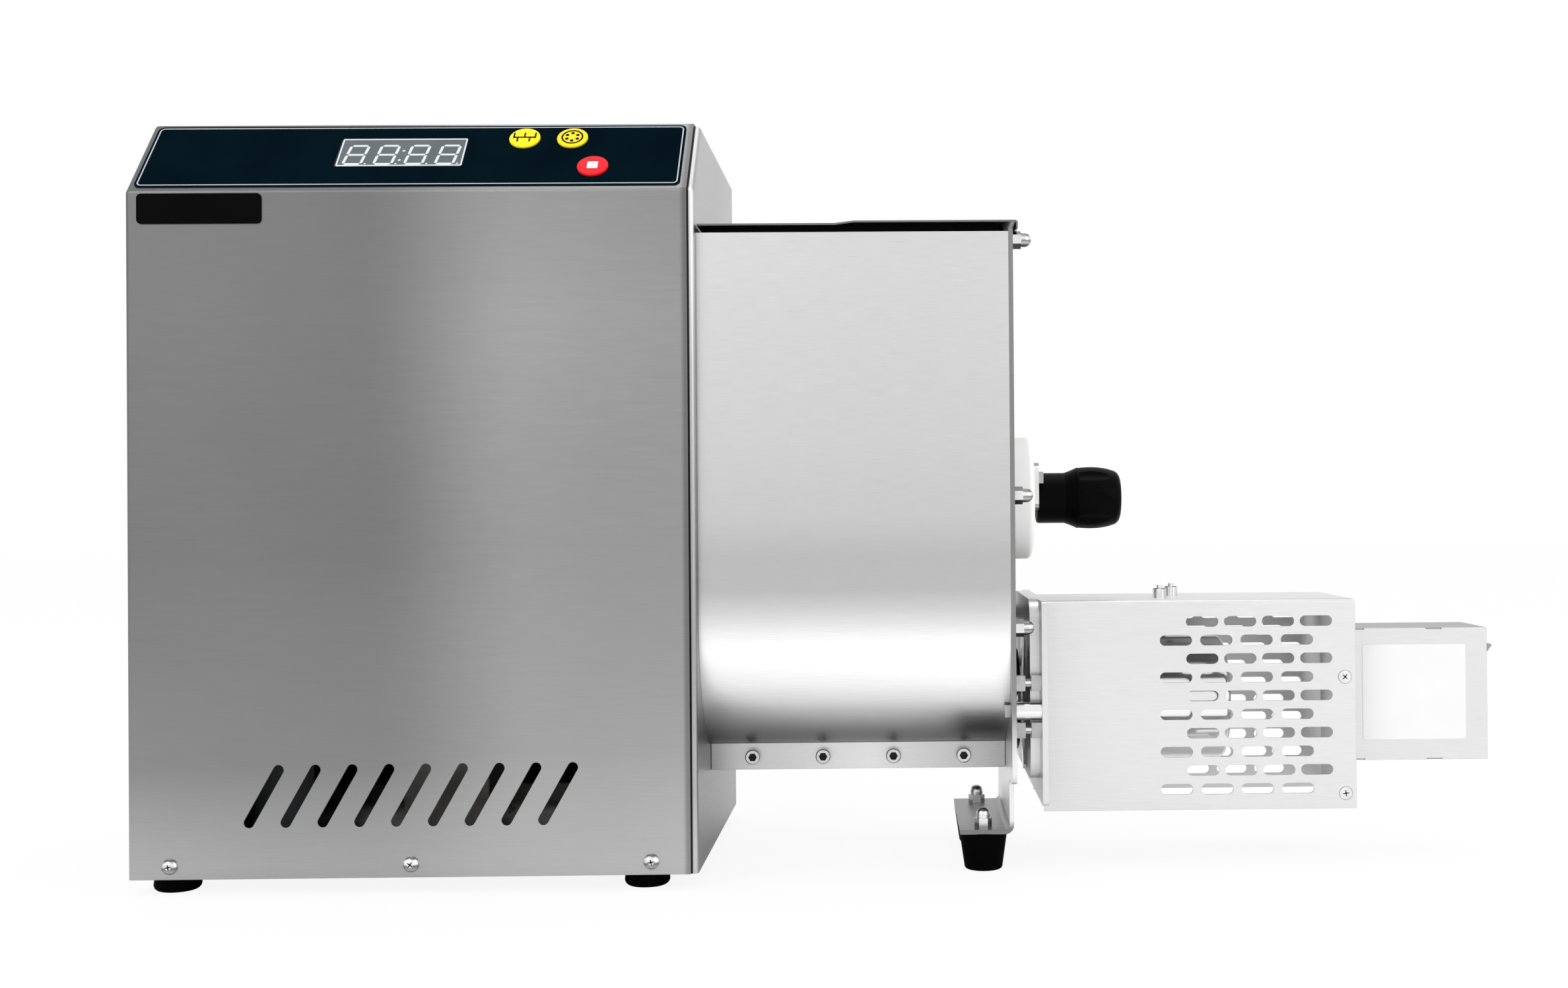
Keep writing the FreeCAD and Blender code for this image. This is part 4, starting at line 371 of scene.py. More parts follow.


# %% [markdown]
# The trough is pale, with a painted reflection that is bright where its wall turns under and painted shade
# that makes it dark at the bottom. The end plate has a painted reflection that is bright on its short leg,
# and the rail a painted highlight in its middle. Each list gives places with the tone at each.

# %% Painted light on the trough, the end plate and the rail
TROUGH_PAINTED_LIGHT = (
    (0.086, 0.30),
    (0.094, 0.51),
    (0.1045, 0.94),
    (0.115, 1.30),
    (0.127, 1.46),
    (0.148, 1.50),
    (0.167, 1.03),
    (0.188, 0.71),
    (0.209, 0.71),
    (0.235, 0.84),
    (0.287, 0.925),
    (0.397, 1.01),
)
PLATE_PAINTED_REFLECTION = ((0.029, 0.44), (0.034, 1.65), (0.08, 1.6), (0.11, 0.56), (0.42, 0.53))
RAIL_PAINTED_HIGHLIGHT = ((-0.085, 0.95), (-0.06, 1.05), (0.018, 1.36), (0.07, 1.0), (0.105, 0.74))


def paint_trough_light(tree, x, y, z):
    return along(tree, z, TROUGH_PAINTED_LIGHT)


def paint_plate_reflection(tree, x, y, z):
    return along(tree, z, PLATE_PAINTED_REFLECTION)


def paint_rail_highlight(tree, x, y, z):
    return along(tree, x, RAIL_PAINTED_HIGHLIGHT)


# %% [markdown]
# The end wall's base colour carries painted reflection and painted shade: darkest at a third of its height,
# with a painted highlight on its front lip. The seam where it meets the cover gets painted shade that makes
# it black.

# %% End wall painted light and seam shade
WALL_PAINTED_LIGHT = ((0.02, 0.51), (0.06, 0.37), (0.16, 0.31), (0.33, 0.42), (0.43, 0.69))
WALL_LIP = (-0.1300, -0.1280)
WALL_LIP_HIGHLIGHT = 1.75
WALL_SEAM = (-0.0926, -0.0921)
DARK_END_TONE = 0.04


def paint_wall_light(tree, x, y, z):
    height = along(tree, z, WALL_PAINTED_LIGHT)
    # Painted highlight on the front lip.
    lip = remap(tree, y, *WALL_LIP, WALL_LIP_HIGHLIGHT, 1.0)
    height = calculate(tree, "MULTIPLY", height, lip)
    # Painted shade in the seam between the end wall and the cover.
    seam = remap(tree, x, *WALL_SEAM, DARK_END_TONE, 1.0)
    return calculate(tree, "MULTIPLY", height, seam)


# %% [markdown]
# Two more dark places are tones as well: the end of the display window that runs on past its frame, and
# painted shade in the hexagon sockets of the rail's four screws.

# %% Dark window end and painted shade in the screw sockets
WINDOW_END = (-0.31945, -0.31935)
SCREW_RADIUS = 0.005
SCREW_PITCH = 0.0476
SOCKET_RIM = (0.0029, 0.0032)
SOCKET_SHADE_TONE = 0.03
FACE_SKIN = (0.0003, 0.0006)


def window_tone(tree, x, y, z):
    return remap(tree, x, *WINDOW_END, DARK_END_TONE, 1.0)


def paint_socket_shade(tree, x, y, z):
    low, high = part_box("rail_screws")
    first = low.x + SCREW_RADIUS
    across = calculate(tree, "WRAP", x, first + SCREW_PITCH / 2, first - SCREW_PITCH / 2)
    across = calculate(tree, "SUBTRACT", across, first)
    up = calculate(tree, "SUBTRACT", z, (low.z + high.z) / 2)
    square = calculate(tree, "MULTIPLY", across, across)
    radius = calculate(tree, "SQRT", calculate(tree, "MULTIPLY_ADD", up, up, square))
    # Painted shade inside each hexagon socket.
    inner = remap(tree, radius, *SOCKET_RIM, SOCKET_SHADE_TONE, 1.0)
    face = remap(tree, y, low.y + FACE_SKIN[0], low.y + FACE_SKIN[1])
    open_face = calculate(tree, "SUBTRACT", 1.0, face)
    return calculate(tree, "MAXIMUM", inner, open_face)


# %% [markdown]
# Polished metal gets a painted reflection in its base colour: the dark edge of a room between a pale floor
# and a pale ceiling. Its tone follows how far a face looks up, from -1 for straight down to 1 for straight
# up.

# %% Painted reflection of a horizon
PAINTED_HORIZON = (
    (-1.0, 0.12),
    (-0.8, 0.16),
    (-0.5, 0.75),
    (-0.15, 0.30),
    (0.0, 1.20),
    (0.35, 1.45),
    (0.6, 0.25),
    (0.9, 0.35),
    (1.0, 1.1),
)
RING_PAINTED_HORIZON = (
    (-1.0, 0.3),
    (-0.6, 0.12),
    (-0.1, 0.10),
    (0.0, 1.6),
    (0.12, 1.6),
    (0.2, 0.10),
    (0.9, 0.2),
    (1.0, 0.9),
)


def paint_horizon_reflection(material, stops):
    tree = material.node_tree
    place = add_node(tree, "ShaderNodeTexCoord")
    axes = add_node(tree, "ShaderNodeSeparateXYZ")
    join(tree, place.outputs["Normal"], axes.inputs[0])
    tone_over(material, lambda tree, x, y, z: along(tree, axes.outputs["Z"], stops))


# %% [markdown]
# The five big pieces of steel come first, each with its own tones of painted reflection and painted shade.

# %% Steel of the housing and the hopper
cover_steel = metal("cover steel", 0.290, 0.42, spread=0.04, lines=1800.0, depth=0.35, size=4.0)
tone_over(cover_steel, paint_housing_reflection)
wall_steel = metal("end wall steel", 0.62, 0.36, spread=0.04, lines=1600.0)
tone_over(wall_steel, paint_wall_light)
trough_steel = metal("trough steel", 0.66, 0.33, spread=0.02, lines=2000.0, depth=0.2, size=3.0)
tone_over(trough_steel, paint_trough_light)
plate_steel = metal("plate steel", 0.46, 0.34, spread=0.06, lines=1600.0)
tone_over(plate_steel, paint_plate_reflection)
rail_steel = metal("rail steel", 0.49, 0.30, spread=0.06, lines=1800.0)
tone_over(rail_steel, paint_rail_highlight)
# The lid's steel is darker than the rest as painted shade, since only its shaded underside and front edge
# face the front.
lid_shaded_steel = metal("lid steel with painted shade", 0.19, 0.30, spread=0.08)
print("metals:", len(bpy.data.materials))

# %% [markdown]
# The cutter's sheets are paler and more even. Turned pieces and fasteners are
# bright, and what sits inside the housing is plain zinc, steel, cast alloy and
# bronze.

# %% Steel of the cutter, fasteners and inner metals
# The power box's sides take a darker copy of the lid's steel as painted shade.
box_side_shaded_steel = metal("power box side steel with painted shade", 0.36, 0.42, spread=0.03, lines=2200.0, depth=0.1)
guard_steel = metal("guard steel", 0.70, 0.45, spread=0.02, lines=2200.0, depth=0.1)
box_steel = metal("power box steel", 0.67, 0.42, spread=0.02, lines=2200.0, depth=0.1)
pale_steel = metal("pale steel", 0.66, 0.35, spread=0.05, lines=2200.0, depth=0.1)
bright_steel = metal("turned steel", 0.80, 0.16, spread=0.05, lines=2500.0, depth=0.12, edge=0.0003)
fastener_steel = metal("fastener steel", 0.62, 0.24, spread=0.10, lines=2500.0, edge=0.0003, size=60.0)
paint_horizon_reflection(fastener_steel, PAINTED_HORIZON)
socket_steel = metal("cap screw steel", 0.55, 0.26, spread=0.10, lines=2500.0, edge=0.0003)
tone_over(socket_steel, paint_socket_shade)
ring_steel = metal("ring nut steel", 0.45, 0.22, spread=0.10, lines=2500.0, edge=0.0003)
paint_horizon_reflection(ring_steel, RING_PAINTED_HORIZON)
zinc_sheet = metal("zinc sheet", 0.45, 0.45, spread=0.25, lines=300.0, warm=0.02, size=35.0)
gear_steel = metal("gear steel", 0.24, 0.32, spread=0.15, lines=1800.0, size=30.0)
cast_alloy = metal("cast alloy", 0.48, 0.55, spread=0.12, lines=250.0, depth=0.5, size=40.0)
bronze = metal("sintered bronze", 0.42, 0.38, spread=0.10, lines=900.0, warm=0.45, size=50.0)
print("metals:", len(bpy.data.materials))

# %% [markdown]
# Plastics, rubber, paint, and the printed film of the panel. The film is dark
# with a very slight blue, and has a light satin gloss.

# %% Plastics, rubber and paint
rubber = plastic("black rubber", (0.001, 0.001, 0.001), 0.62, depth=0.5, grain=1800.0, gloss_level=0.02)
knob_black = plastic(
    "knob black", (0.0008, 0.0008, 0.0009), 0.42, depth=0.35, grain=2200.0, edge=0.0008, gloss_level=0.04
)
film_black = plastic(
    "panel film", (0.0015, 0.0058, 0.0095), 0.42, depth=0.12, grain=4000.0, edge=0.0002, gloss_level=0.0
)
plate_black = plastic(
    "plate black", (0.0015, 0.0015, 0.0015), 0.30, depth=0.05, edge=0.0004, gloss_level=0.02
)
window_dark = plastic(
    "smoked window", (0.085, 0.100, 0.110), 0.20, depth=0.02, edge=0.0003, gloss_level=0.10
)
tone_over(window_dark, window_tone)
KEY_SKIN = {"depth": 0.1, "edge": 0.0004, "gloss_level": 0.08, "spread": 0.05}
key_yellow = plastic("key yellow", (0.88, 0.66, 0.008), 0.34, **KEY_SKIN)
key_red = plastic("key red", (0.66, 0.008, 0.016), 0.34, **KEY_SKIN)
acetal = plastic("white acetal", (0.94, 0.94, 0.93), 0.40, depth=0.1, grain=900.0, edge=0.0008, spread=0.01)
motor_paint = plastic("motor paint", (0.030, 0.036, 0.045), 0.42, depth=0.3, grain=900.0)
board_green = plastic("circuit board", (0.012, 0.13, 0.045), 0.38, depth=0.1, grain=1500.0)
grey_plastic = plastic("grey plastic", (0.20, 0.21, 0.22), 0.45)
rocker_grey = plastic("rocker grey", (0.35, 0.36, 0.37), 0.40, depth=0.15, edge=0.0005)
# Painted shade for pressed recesses.
recess_painted_shade = plastic("recess painted shade", (0.006, 0.006, 0.006), 0.6, depth=0.1, gloss_level=0.05)
print_grey = plastic("pale print", (0.42, 0.46, 0.48), 0.45, depth=0.05, spread=0.03, gloss_level=0.1)
digit_pale = plastic("unlit segments", (0.60, 0.65, 0.67), 0.45, depth=0.05, spread=0.03, gloss_level=0.1)
print_black = plastic("black print", (0.004, 0.004, 0.004), 0.45, depth=0.05, gloss_level=0.05)
print_white = plastic("white print", (0.86, 0.86, 0.86), 0.45, depth=0.05, spread=0.02)
label_paper = plastic("bare label", (0.76, 0.76, 0.76), 0.36, depth=0.08, grain=3000.0, spread=0.01)
print("materials in all:", len(bpy.data.materials))

# %% [markdown]
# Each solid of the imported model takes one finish.

# %% Dress the solids
FINISHES = {
    "housing_cover": cover_steel,
    "drive_end_wall": wall_steel,
    "base_plate": zinc_sheet,
    "housing_feet": rubber,
    "cover_screws": fastener_steel,
    "blank_plate": plate_black,
    "control_overlay": film_black,
    "display_window": window_dark,
    "mix_key": key_yellow,
    "press_key": key_yellow,
    "stop_key": key_red,
    "control_board": board_green,
    "power_inlet": knob_black,
    "hopper_trough": trough_steel,
    "hopper_end_plate": plate_steel,
    "support_rail": rail_steel,
    "rail_screws": socket_steel,
    "acorn_nuts": fastener_steel,
    "hopper_feet": rubber,
    "extrusion_barrel": cast_alloy,
    "extrusion_screw": bright_steel,
    "die_plate": bronze,
    "die_ring_nut": ring_steel,
    "mixing_shaft": bright_steel,
    "mixing_paddles": bright_steel,
    "shaft_seals": rubber,
    "shaft_bearings": bronze,
    "gear_carrier": zinc_sheet,
    "mixer_gear": gear_steel,
    "screw_gear": gear_steel,
    "drive_pinion": gear_steel,
    "gearbox_case": cast_alloy,
    "motor_body": motor_paint,
    "motor_bracket": zinc_sheet,
    "motor_capacitor": grey_plastic,
    "lid_plate": lid_shaded_steel,
    "lid_seal": rubber,
    "hinge_base": fastener_steel,
    "hinge_leaves": fastener_steel,
    "hinge_pins": bright_steel,
    "front_bearing_disc": acetal,
    "keeper_plate": fastener_steel,
    "hex_bolts": fastener_steel,
    "release_knob": knob_black,
    "release_pin": bright_steel,
    "cutter_mount_plate": pale_steel,
    "cutter_pillars": bright_steel,
    "clamp_studs": fastener_steel,
    "countersunk_screws": fastener_steel,
    "cutter_head_plate": pale_steel,
    "cutter_blade": bright_steel,
    "cutter_cover": guard_steel,
    "cutter_drum": bright_steel,
    "cutter_motor": motor_paint,
    "power_box": box_side_shaded_steel,
    "power_box_lid": box_steel,
    "power_jack": knob_black,
    "switch_frame": knob_black,
    "switch_rocker": rocker_grey,
    "thumb_nuts": fastener_steel,
}

for name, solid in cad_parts.items():
    solid.data.materials.clear()
    solid.data.materials.append(FINISHES[name])
print("solids dressed:", len(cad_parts))

# %% [markdown]
# Thin printed and pressed details are flat outlines with a little thickness.
# A helper raises an outline from a plane, rounds its upper edge and hands back
# one object for many outlines.

# %% Raised outlines
def ring_points(x, y, radius, count=40):
    turn = 2 * math.pi / count
    return [(x + radius * math.cos(turn * k), y + radius * math.sin(turn * k)) for k in range(count)]


def round_rectangle(x0, y0, x1, y1, radius, steps=6):
    points = []
    corners = ((x1 - radius, y1 - radius, 0), (x0 + radius, y1 - radius, 90))
    corners += ((x0 + radius, y0 + radius, 180), (x1 - radius, y0 + radius, 270))
    for x, y, start in corners:
        for step in range(steps + 1):
            angle = math.radians(start + 90 * step / steps)
            points.append((x + radius * math.cos(angle), y + radius * math.sin(angle)))
    return points


def raise_outline(mesh, outline, low, high, bevel, plane):
    """Add one prism with a bevelled upper rim to a bmesh, in a plane's own axes."""
    face = mesh.faces.new([mesh.verts.new(plane @ mm(x, y, low)) for x, y in outline])
    lifted = bmesh.ops.extrude_face_region(mesh, geom=[face])
    top = [item for item in lifted["geom"] if isinstance(item, bmesh.types.BMVert)]
    up = (plane.to_3x3() @ Vector((0, 0, 1))) * (high - low) * MM
    bmesh.ops.translate(mesh, verts=top, vec=up)
    if bevel:
        chosen = set(top)
        rim = [edge for edge in mesh.edges if edge.verts[0] in chosen and edge.verts[1] in chosen]
        bmesh.ops.bevel(
            mesh, geom=rim, offset=bevel * MM, segments=2, affect="EDGES", profile=0.5, clamp_overlap=True
        )


def put_in_scene(name, data):
    made = bpy.data.objects.new(name, data)
    bpy.context.scene.collection.objects.link(made)
    return made


def finish_piece(name, mesh, material, body):
    bmesh.ops.recalc_face_normals(mesh, faces=mesh.faces)
    data = bpy.data.meshes.new(name)
    mesh.to_mesh(data)
    mesh.free()
    data.materials.append(material)
    piece = put_in_scene(name, data)
    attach(piece, body)
    return piece


def raised_piece(name, outlines, low, high, material, body, plane, bevel=0.0, slot=None):
    mesh = bmesh.new()
    for outline in outlines:
        raise_outline(mesh, outline, low, high, bevel, plane)
    return finish_piece(name, mesh, material, body)


def band_piece(name, outer, inner, low, high, material, body, plane, slot=None):
    """A closed band between two outlines that have the same number of points."""
    mesh = bmesh.new()
    loops = []
    for outline, level in ((outer, low), (outer, high), (inner, high), (inner, low)):
        loops.append([mesh.verts.new(plane @ mm(x, y, level)) for x, y in outline])
    count = len(outer)
    for ring in range(4):
        first, second = loops[ring], loops[(ring + 1) % 4]
        for k in range(count):
            step = (k + 1) % count
            mesh.faces.new((first[k], first[step], second[step], second[k]))
    return finish_piece(name, mesh, material, body)


# %% [markdown]
# The panel lies on the slope. Its plane starts at the lower left corner of the
# slope: x runs to the right, y up the slope and z out of it.

# %% The slope's plane
panel = Matrix(
    (
        (1, 0, 0, cover_low.x),
        (0, math.cos(SLOPE), -math.sin(SLOPE), cover_low.y),
        (0, math.sin(SLOPE), math.cos(SLOPE), FOLD_HEIGHT * MM),
        (0, 0, 0, 1),
    )
)
print("panel starts at", [round(value, 4) for value in panel.translation])

# %% [markdown]
# A pale line runs round the film, just inside its edge, and a pale frame goes
# round the display window.

# %% Border line and display frame
film = (4.4, 3.5, 349.1, 66.0)
window = (127.4, 23.7, 208.0, 52.2)
BORDER_INSETS = (1.4, 2.3)
BORDER_RADII = (3.1, 2.2)


def inset_film(inset, radius):
    return round_rectangle(film[0] + inset, film[1] + inset, film[2] - inset, film[3] - inset, radius)


outer, inner = [inset_film(inset, radius) for inset, radius in zip(BORDER_INSETS, BORDER_RADII)]
band_piece("panel_border", outer, inner, 0.5, 0.64, print_grey, "chassis", panel, "overlay_black")
outer = round_rectangle(*window, 1.0)
inner = round_rectangle(window[0] + 1.0, window[1] + 1.1, window[2] - 1.0, window[3] - 1.1, 0.4)
band_piece("display_frame", outer, inner, 0.4, 0.85, digit_pale, "chassis", panel, "overlay_black")
print("display window:", round(window[2] - window[0], 1), "x", round(window[3] - window[1], 1), "mm")

# %% [markdown]
# Four unlit seven-segment digits with a colon, 20.9 mm high and leaning 7
# degrees. A segment is a bar with pointed ends.

# %% Display digits
DIGIT_HEIGHT = 20.9
DIGIT_WIDTH = 13.2
DIGIT_PITCH = 19.67
FIRST_DIGIT = 4.3
DIGIT_FOOT = 2.3
SEGMENT = 1.9
LEAN = math.tan(math.radians(7))
POINT_PLACE = (0.9, 0.3)
POINT_RADIUS = 0.7
COLON_DOTS = ((0.6, 3.9), (1.9, 13.6))
COLON_RADIUS = 0.95


def segment(x0, y0, x1, y1):
    """A bar from one end to the other with pointed ends, leaning with the digit."""
    half = SEGMENT / 2
    gap = 0.35
    if abs(x1 - x0) > abs(y1 - y0):
        x0, x1 = x0 + gap, x1 - gap
        points = [(x0, y0), (x0 + half, y0 - half), (x1 - half, y0 - half)]
        points += [(x1, y0), (x1 - half, y0 + half), (x0 + half, y0 + half)]
    else:
        y0, y1 = y0 + gap, y1 - gap
        points = [(x0, y0), (x0 + half, y0 + half), (x0 + half, y1 - half)]
        points += [(x0, y1), (x0 - half, y1 - half), (x0 - half, y0 + half)]
    return points


def leaned(points, x, y):
    return [(x + px + py * LEAN, y + py) for px, py in points]


def digit_outlines(x, y):
    high, wide = DIGIT_HEIGHT - SEGMENT, DIGIT_WIDTH - SEGMENT
    middle = high / 2
    bars = [(0, 0, wide, 0), (0, middle, wide, middle), (0, high, wide, high)]
    bars += [(0, 0, 0, middle), (0, middle, 0, high)]
    bars += [(wide, 0, wide, middle), (wide, middle, wide, high)]
    return [leaned(segment(*bar), x, y) for bar in bars]


digits = []
foot = window[1] + DIGIT_FOOT
starts = [window[0] + FIRST_DIGIT + DIGIT_PITCH * k for k in range(4)]
for start in starts:
    digits += digit_outlines(start, foot)
    across = start + DIGIT_WIDTH + POINT_PLACE[0]
    digits.append(ring_points(across, foot + POINT_PLACE[1], POINT_RADIUS, 12))
colon = (starts[1] + DIGIT_WIDTH + starts[2]) / 2 - 1.2
for across, up in COLON_DOTS:
    digits.append(leaned(ring_points(0, 0, COLON_RADIUS, 16), colon + across, foot + up))
raised_piece("display_digits", digits, 0.45, 0.66, digit_pale, "chassis", panel, slot="display_dark")
print("digit outlines:", len(digits))

# %% [markdown]
# The yellow keys carry plain pictures of what they start: a shaft with prongs
# for mixing and a die with holes for pressing. The red one has a stop square.

# %% Key pictures
KEY_TOP = (1.70, 2.06)
MIX_KEY = (244.8, 52.0)
PRESS_KEY = (275.8, 52.0)
STOP_KEY = (292.1, 22.3)
HALF_PRONG = 0.5
DIE_RADII = (7.1, 6.1)
HOLE_CIRCLE = 3.9
HOLE_RADIUS = 1.15
STOP_HALF = 3.4


def bar(x0, y0, x1, y1):
    return [(x0, y0), (x1, y0), (x1, y1), (x0, y1)]


def key_plane(across, up):
    return panel @ Matrix.Translation(mm(across, up, 0))


mix_plane = key_plane(*MIX_KEY)
prongs = [bar(-7.4, -0.9, 7.4, 0.4)]
prongs += [bar(x - HALF_PRONG, 0.3, x + HALF_PRONG, 4.6) for x in (-6.9, 0.0, 6.9)]
prongs += [bar(x - HALF_PRONG, -4.6, x + HALF_PRONG, -0.8) for x in (-4.4, 3.4)]
raised_piece("mix_key_picture", prongs, *KEY_TOP, print_black, "mix_button", mix_plane)

press_plane = key_plane(*PRESS_KEY)
outer, inner = [ring_points(0, 0, radius) for radius in DIE_RADII]
band_piece("press_key_ring", outer, inner, *KEY_TOP, print_black, "press_button", press_plane)
holes = []
for step in range(6):
    angle = math.radians(60 * step + 30)
    holes.append(ring_points(HOLE_CIRCLE * math.cos(angle), HOLE_CIRCLE * math.sin(angle), HOLE_RADIUS, 16))
raised_piece("press_key_holes", holes, *KEY_TOP, print_black, "press_button", press_plane)

stop_plane = key_plane(*STOP_KEY)
square = [round_rectangle(-STOP_HALF, -STOP_HALF, STOP_HALF, STOP_HALF, 0.6)]
raised_piece("stop_key_square", square, *KEY_TOP, print_white, "stop_button", stop_plane)
print("prongs:", len(prongs), "holes:", len(holes))

# %% [markdown]
# The power box has a bare pale label on its front, in an upright plane: x runs
# to the right, y up and z to the front.

# %% Bare label
LABEL = (354.6, 80.0, 425.5, 145.0)
LABEL_RADIUS = 2.0
box_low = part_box("power_box_lid")[0]


def upright_plane(y):
    return Matrix(((1, 0, 0, 0), (0, 0, -1, y), (0, 1, 0, 0), (0, 0, 0, 1)))


label = [round_rectangle(*LABEL, LABEL_RADIUS)]
label_plane = upright_plane(box_low.y)
raised_piece("bare_label", label, -0.05, 0.22, label_paper, "chassis", label_plane, bevel=0.06)
print("label:", round(LABEL[2] - LABEL[0], 1), "x", round(LABEL[3] - LABEL[1], 1), "mm")

# %% [markdown]
# The guard of the cutter has ten rows of slots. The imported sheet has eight, so
# a copy of it gets the two lowest rows: a Boolean cuts eight more slots through
# both long walls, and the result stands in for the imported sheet. A low row is
# given by where its first slot's middle lies from the guard's start, the pitch
# of its slots and its height, all in millimetres.

# %% Knives for the low slots
GUARD_START = 135.45
LOW_ROWS = ((106.7, 25.5, 63.2), (89.0, 27.1, 50.75))
SLOTS_IN_ROW = 4
SLOT_LENGTH = 21.6
SLOT_WIDTH = 7.0
OVERSHOOT = 3.0


def obround(x, z, length, width, steps=10):
    points = []
    run = (length - width) / 2
    for side, start in ((1, -90), (-1, 90)):
        for step in range(steps + 1):
            angle = math.radians(start + 180 * step / steps)
            points.append((x + side * run + width / 2 * math.cos(angle), z + width / 2 * math.sin(angle)))
    return points


def make_slot_knives(low, high):
    """One long prism per low slot, through both walls of the guard."""
    knives = bmesh.new()
    front, back = -low.y / MM + OVERSHOOT, -high.y / MM - OVERSHOOT
    for start, pitch, height in LOW_ROWS:
        for number in range(SLOTS_IN_ROW):
            outline = obround(GUARD_START + start + pitch * number, height, SLOT_LENGTH, SLOT_WIDTH)
            raise_outline(knives, outline, back, front, 0, upright_plane(0))
    bmesh.ops.recalc_face_normals(knives, faces=knives.faces)
    data = bpy.data.meshes.new("slot knives")
    knives.to_mesh(data)
    knives.free()
    return put_in_scene("slot knives", data)


# %% [markdown]
# The copy of the sheet is joined into one closed skin before the cut. After it,
# flat walls stay flat and the rounded folds stay smooth.

# %% Guard sheet with all its slots
MERGE_DISTANCE = 0.000001
SHARP_ANGLE = math.radians(25)


def make_guard_sheet():
    sheet = bmesh.new()
    sheet.from_mesh(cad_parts["cutter_cover"].data)
    bmesh.ops.remove_doubles(sheet, verts=sheet.verts, dist=MERGE_DISTANCE)
    data = bpy.data.meshes.new("cutter_guard_sheet")
    sheet.to_mesh(data)
    sheet.free()
    piece = put_in_scene("cutter_guard_sheet", data)
    knife = make_slot_knives(*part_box("cutter_cover"))
    cut = piece.modifiers.new("low slots", "BOOLEAN")
    cut.operation = "DIFFERENCE"
    cut.solver = "EXACT"
    cut.object = knife
    ready = piece.evaluated_get(bpy.context.evaluated_depsgraph_get())
    finished = bpy.data.meshes.new_from_object(ready)
    piece.modifiers.clear()
    piece.data = finished
    bpy.data.objects.remove(knife)
    finished.materials.clear()
    finished.materials.append(guard_steel)
    for polygon in finished.polygons:
        polygon.use_smooth = True
    finished.set_sharp_from_angle(angle=SHARP_ANGLE)
    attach(piece, "chassis")
    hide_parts("cutter_cover")
    print("guard sheet faces:", len(finished.polygons), "before:", len(data.polygons))


make_guard_sheet()

# %% [markdown]
# Pan heads and countersunk heads have a pressed cross. A node with many screws
# is taken apart into its separate solids first, to find where each head is.

# %% Boxes of the separate solids
def solid_boxes(name):
    """The low and high corner of each separate solid of one node, in millimetres."""
    mesh = bmesh.new()
    mesh.from_mesh(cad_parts[name].data)
    bmesh.ops.remove_doubles(mesh, verts=mesh.verts, dist=MERGE_DISTANCE)
    left_over = set(mesh.verts)
    found = []
    while left_over:
        waiting = [left_over.pop()]
        group = []
        while waiting:
            vertex = waiting.pop()
            group.append(vertex.co.copy())
            for edge in vertex.link_edges:
                other = edge.other_vert(vertex)
                if other in left_over:
                    left_over.remove(other)
                    waiting.append(other)
        low = [min(point[axis] for point in group) / MM for axis in range(3)]
        high = [max(point[axis] for point in group) / MM for axis in range(3)]
        found.append((low, high))
    mesh.free()
    return sorted(found)


print("cover screws:", len(solid_boxes("cover_screws")))

# %% [markdown]
# Each mark is a thin cross of painted shade, standing for the shade in the pressed recess, that is dropped
# onto its head, so it follows the dome: rays find the head's surface under every corner of the cross.

# %% Cross recesses
ARM_TAPER = 0.45
FIRST_TURN = 8
RAY_START = 300.0
CROSS_LIFT = 0.03
CROSS_DEPTH = 0.12


def cross_cells(reach, half):
    """The corner points of the small squares that make up a plus sign."""
    steps = [half + (reach - half) * step / 3 for step in range(4)]
    cells = [((-half, -half), (half, -half), (half, half), (-half, half))]
    for near, far in zip(steps, steps[1:]):
        thin_near = half * (1 - ARM_TAPER * (near - half) / (reach - half))
        thin_far = half * (1 - ARM_TAPER * (far - half) / (reach - half))
        arm = ((near, -thin_near), (far, -thin_far), (far, thin_far), (near, thin_near))
        for quarter in range(4):
            turned = arm
            for _ in range(quarter):
                turned = tuple((-y, x) for x, y in turned)
            cells.append(turned)
    return cells


def drop_crosses(piece_name, node, facing, reach, half, turn_step):
    """Lay a cross of painted recess shade on each head of a node that faces front (-1) or back (1)."""
    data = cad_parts[node].data
    surface = BVHTree.FromPolygons([v.co for v in data.vertices], [p.vertices for p in data.polygons])
    mesh = bmesh.new()
    for number, (low, high) in enumerate(solid_boxes(node)):
        middle = [(first + second) / 2 for first, second in zip(low, high)]
        if node == "cover_screws" and middle[1] * facing < 0:
            continue
        turn = math.radians(FIRST_TURN + turn_step * number)
        corners = {}
        faces = []
        for cell in cross_cells(reach, half):
            corner_list = []
            for x, z in cell:
                key = (round(x, 4), round(z, 4))
                if key not in corners:
                    across = x * math.cos(turn) - z * math.sin(turn)
                    up = x * math.sin(turn) + z * math.cos(turn)
                    start = mm(middle[0] + across, facing * RAY_START, middle[2] + up)
                    hit = surface.ray_cast(start, Vector((0, -facing, 0)))[0]
                    corners[key] = mesh.verts.new(hit + Vector((0, facing * CROSS_LIFT * MM, 0)))
                corner_list.append(corners[key])
            faces.append(mesh.faces.new(corner_list))
        sunk = bmesh.ops.extrude_face_region(mesh, geom=faces, use_keep_orig=True)
        moved = [item for item in sunk["geom"] if isinstance(item, bmesh.types.BMVert)]
        bmesh.ops.translate(mesh, verts=moved, vec=(0, -facing * CROSS_DEPTH * MM, 0))
    piece = finish_piece(piece_name, mesh, recess_painted_shade, "chassis")
    print(piece_name, "has", len(piece.data.polygons), "faces")


drop_crosses("front_screw_crosses", "cover_screws", -1, 2.3, 0.42, 23)
drop_crosses("back_screw_crosses", "cover_screws", 1, 2.3, 0.42, 31)
drop_crosses("guard_screw_crosses", "countersunk_screws", -1, 2.2, 0.40, 40)

# %% [markdown]
# The floor looks white to the camera because most of what the camera sees of it
# is a plain glow. The rest is a matt white surface that takes a faint shadow.

# %% Floor
FLOOR_GLOW = 0.90


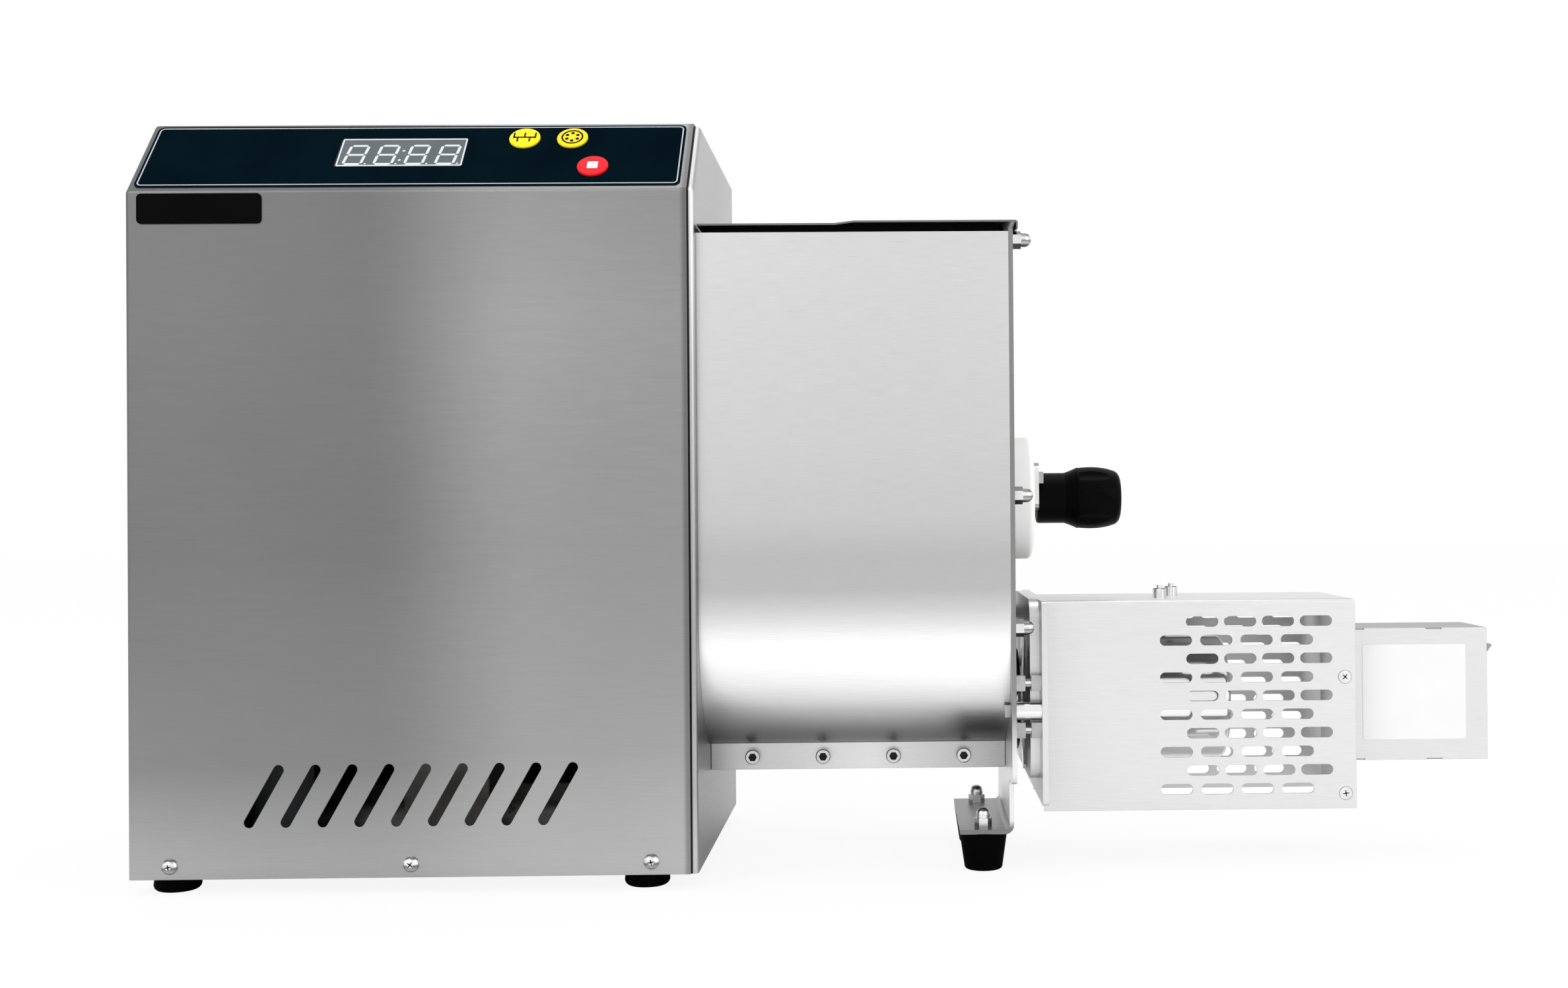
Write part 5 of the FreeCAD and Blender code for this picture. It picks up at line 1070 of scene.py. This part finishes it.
def make_floor():
    bpy.ops.mesh.primitive_plane_add(size=14, location=(0, 2.0, 0))
    floor = bpy.context.object
    floor.name = "floor"
    material = bpy.data.materials.new("pale floor")
    material.use_nodes = True
    tree = material.node_tree
    shader = tree.nodes["Principled BSDF"]
    shader.inputs["Base Color"].default_value = (0.93, 0.93, 0.93, 1)
    shader.inputs["Roughness"].default_value = 0.7
    shader.inputs["Specular IOR Level"].default_value = 0.1
    glow = add_node(tree, "ShaderNodeEmission")
    glow.inputs["Strength"].default_value = 1.0
    rays = add_node(tree, "ShaderNodeLightPath")
    mixed = add_node(tree, "ShaderNodeMixShader")
    seen = calculate(tree, "MULTIPLY", rays.outputs["Is Camera Ray"], FLOOR_GLOW)
    join(tree, seen, mixed.inputs["Fac"])
    join(tree, shader.outputs[0], mixed.inputs[1])
    join(tree, glow.outputs[0], mixed.inputs[2])
    join(tree, mixed.outputs[0], tree.nodes["Material Output"].inputs["Surface"])
    floor.data.materials.append(material)


make_floor()

# %% [markdown]
# The surround is white for the camera and in mirrors. A second background gives
# the soft light, so either can be changed without the other.

# %% Surround
def make_surround():
    world = bpy.data.worlds.new("studio")
    bpy.context.scene.world = world
    world.use_nodes = True
    tree = world.node_tree
    tree.nodes.clear()
    white = add_node(tree, "ShaderNodeBackground")
    white.inputs["Strength"].default_value = 1.0
    white.inputs["Color"].default_value = (1, 1, 1, 1)
    soft = add_node(tree, "ShaderNodeBackground")
    soft.inputs["Color"].default_value = (1, 1, 1, 1)
    soft.inputs["Strength"].default_value = 1.0
    rays = add_node(tree, "ShaderNodeLightPath")
    seen = calculate(tree, "MAXIMUM", rays.outputs["Is Camera Ray"], rays.outputs["Is Glossy Ray"])
    seen = calculate(tree, "MAXIMUM", seen, rays.outputs["Is Transmission Ray"])
    mixed = add_node(tree, "ShaderNodeMixShader")
    join(tree, seen, mixed.inputs["Fac"])
    join(tree, soft.outputs[0], mixed.inputs[1])
    join(tree, white.outputs[0], mixed.inputs[2])
    join(tree, mixed.outputs[0], add_node(tree, "ShaderNodeOutputWorld").inputs["Surface"])


make_surround()

# %% [markdown]
# Three soft lamps. Each has a place, a point it aims at, a width and height in
# metres, and a power in watts.

# %% Lamps
def make_lamp(name, place, aim, size, power):
    data = bpy.data.lights.new(name, "AREA")
    data.shape = "RECTANGLE"
    data.size, data.size_y = size
    data.energy = power
    lamp = put_in_scene(name, data)
    lamp.location = place
    lamp.rotation_mode = "QUATERNION"
    lamp.rotation_quaternion = (Vector(aim) - Vector(place)).to_track_quat("-Z", "Y")


make_lamp("key lamp", (-1.3, -1.7, 1.5), (0, 0, 0.25), (1.2, 1.2), 14)
make_lamp("fill lamp", (1.6, -1.5, 0.9), (0, 0, 0.25), (1.0, 1.4), 7)
make_lamp("top lamp", (0.0, 0.1, 1.9), (0, 0, 0.2), (1.6, 1.0), 7)
print("lamps:", len(bpy.data.lights))

# %% [markdown]
# The camera stands nearly level in front of the middle of the machine, 1.10 m
# from the front of the housing, as the photograph's perspective shows.

# %% Camera
camera_data = bpy.data.cameras.new("camera")
camera_data.sensor_width = 36.0
camera_data.lens = 39.70
camera_data.shift_x = -0.08839
camera_data.shift_y = 0.00178
camera = put_in_scene("camera", camera_data)
camera.location = (0.03768, -1.22876, 0.24050)
turns = ((-0.01557, "Z"), (0.00637, "X"), (0.00784, "Y"), (math.radians(90), "X"))
tilt = Matrix.Identity(4)
for angle, axis in turns:
    tilt = tilt @ Matrix.Rotation(angle, 4, axis)
camera.rotation_mode = "QUATERNION"
camera.rotation_quaternion = tilt.to_quaternion()
bpy.context.scene.camera = camera
bpy.context.scene.view_settings.view_transform = "Standard"
print("camera at", [round(value, 3) for value in camera.location], "lens", round(camera_data.lens, 2))
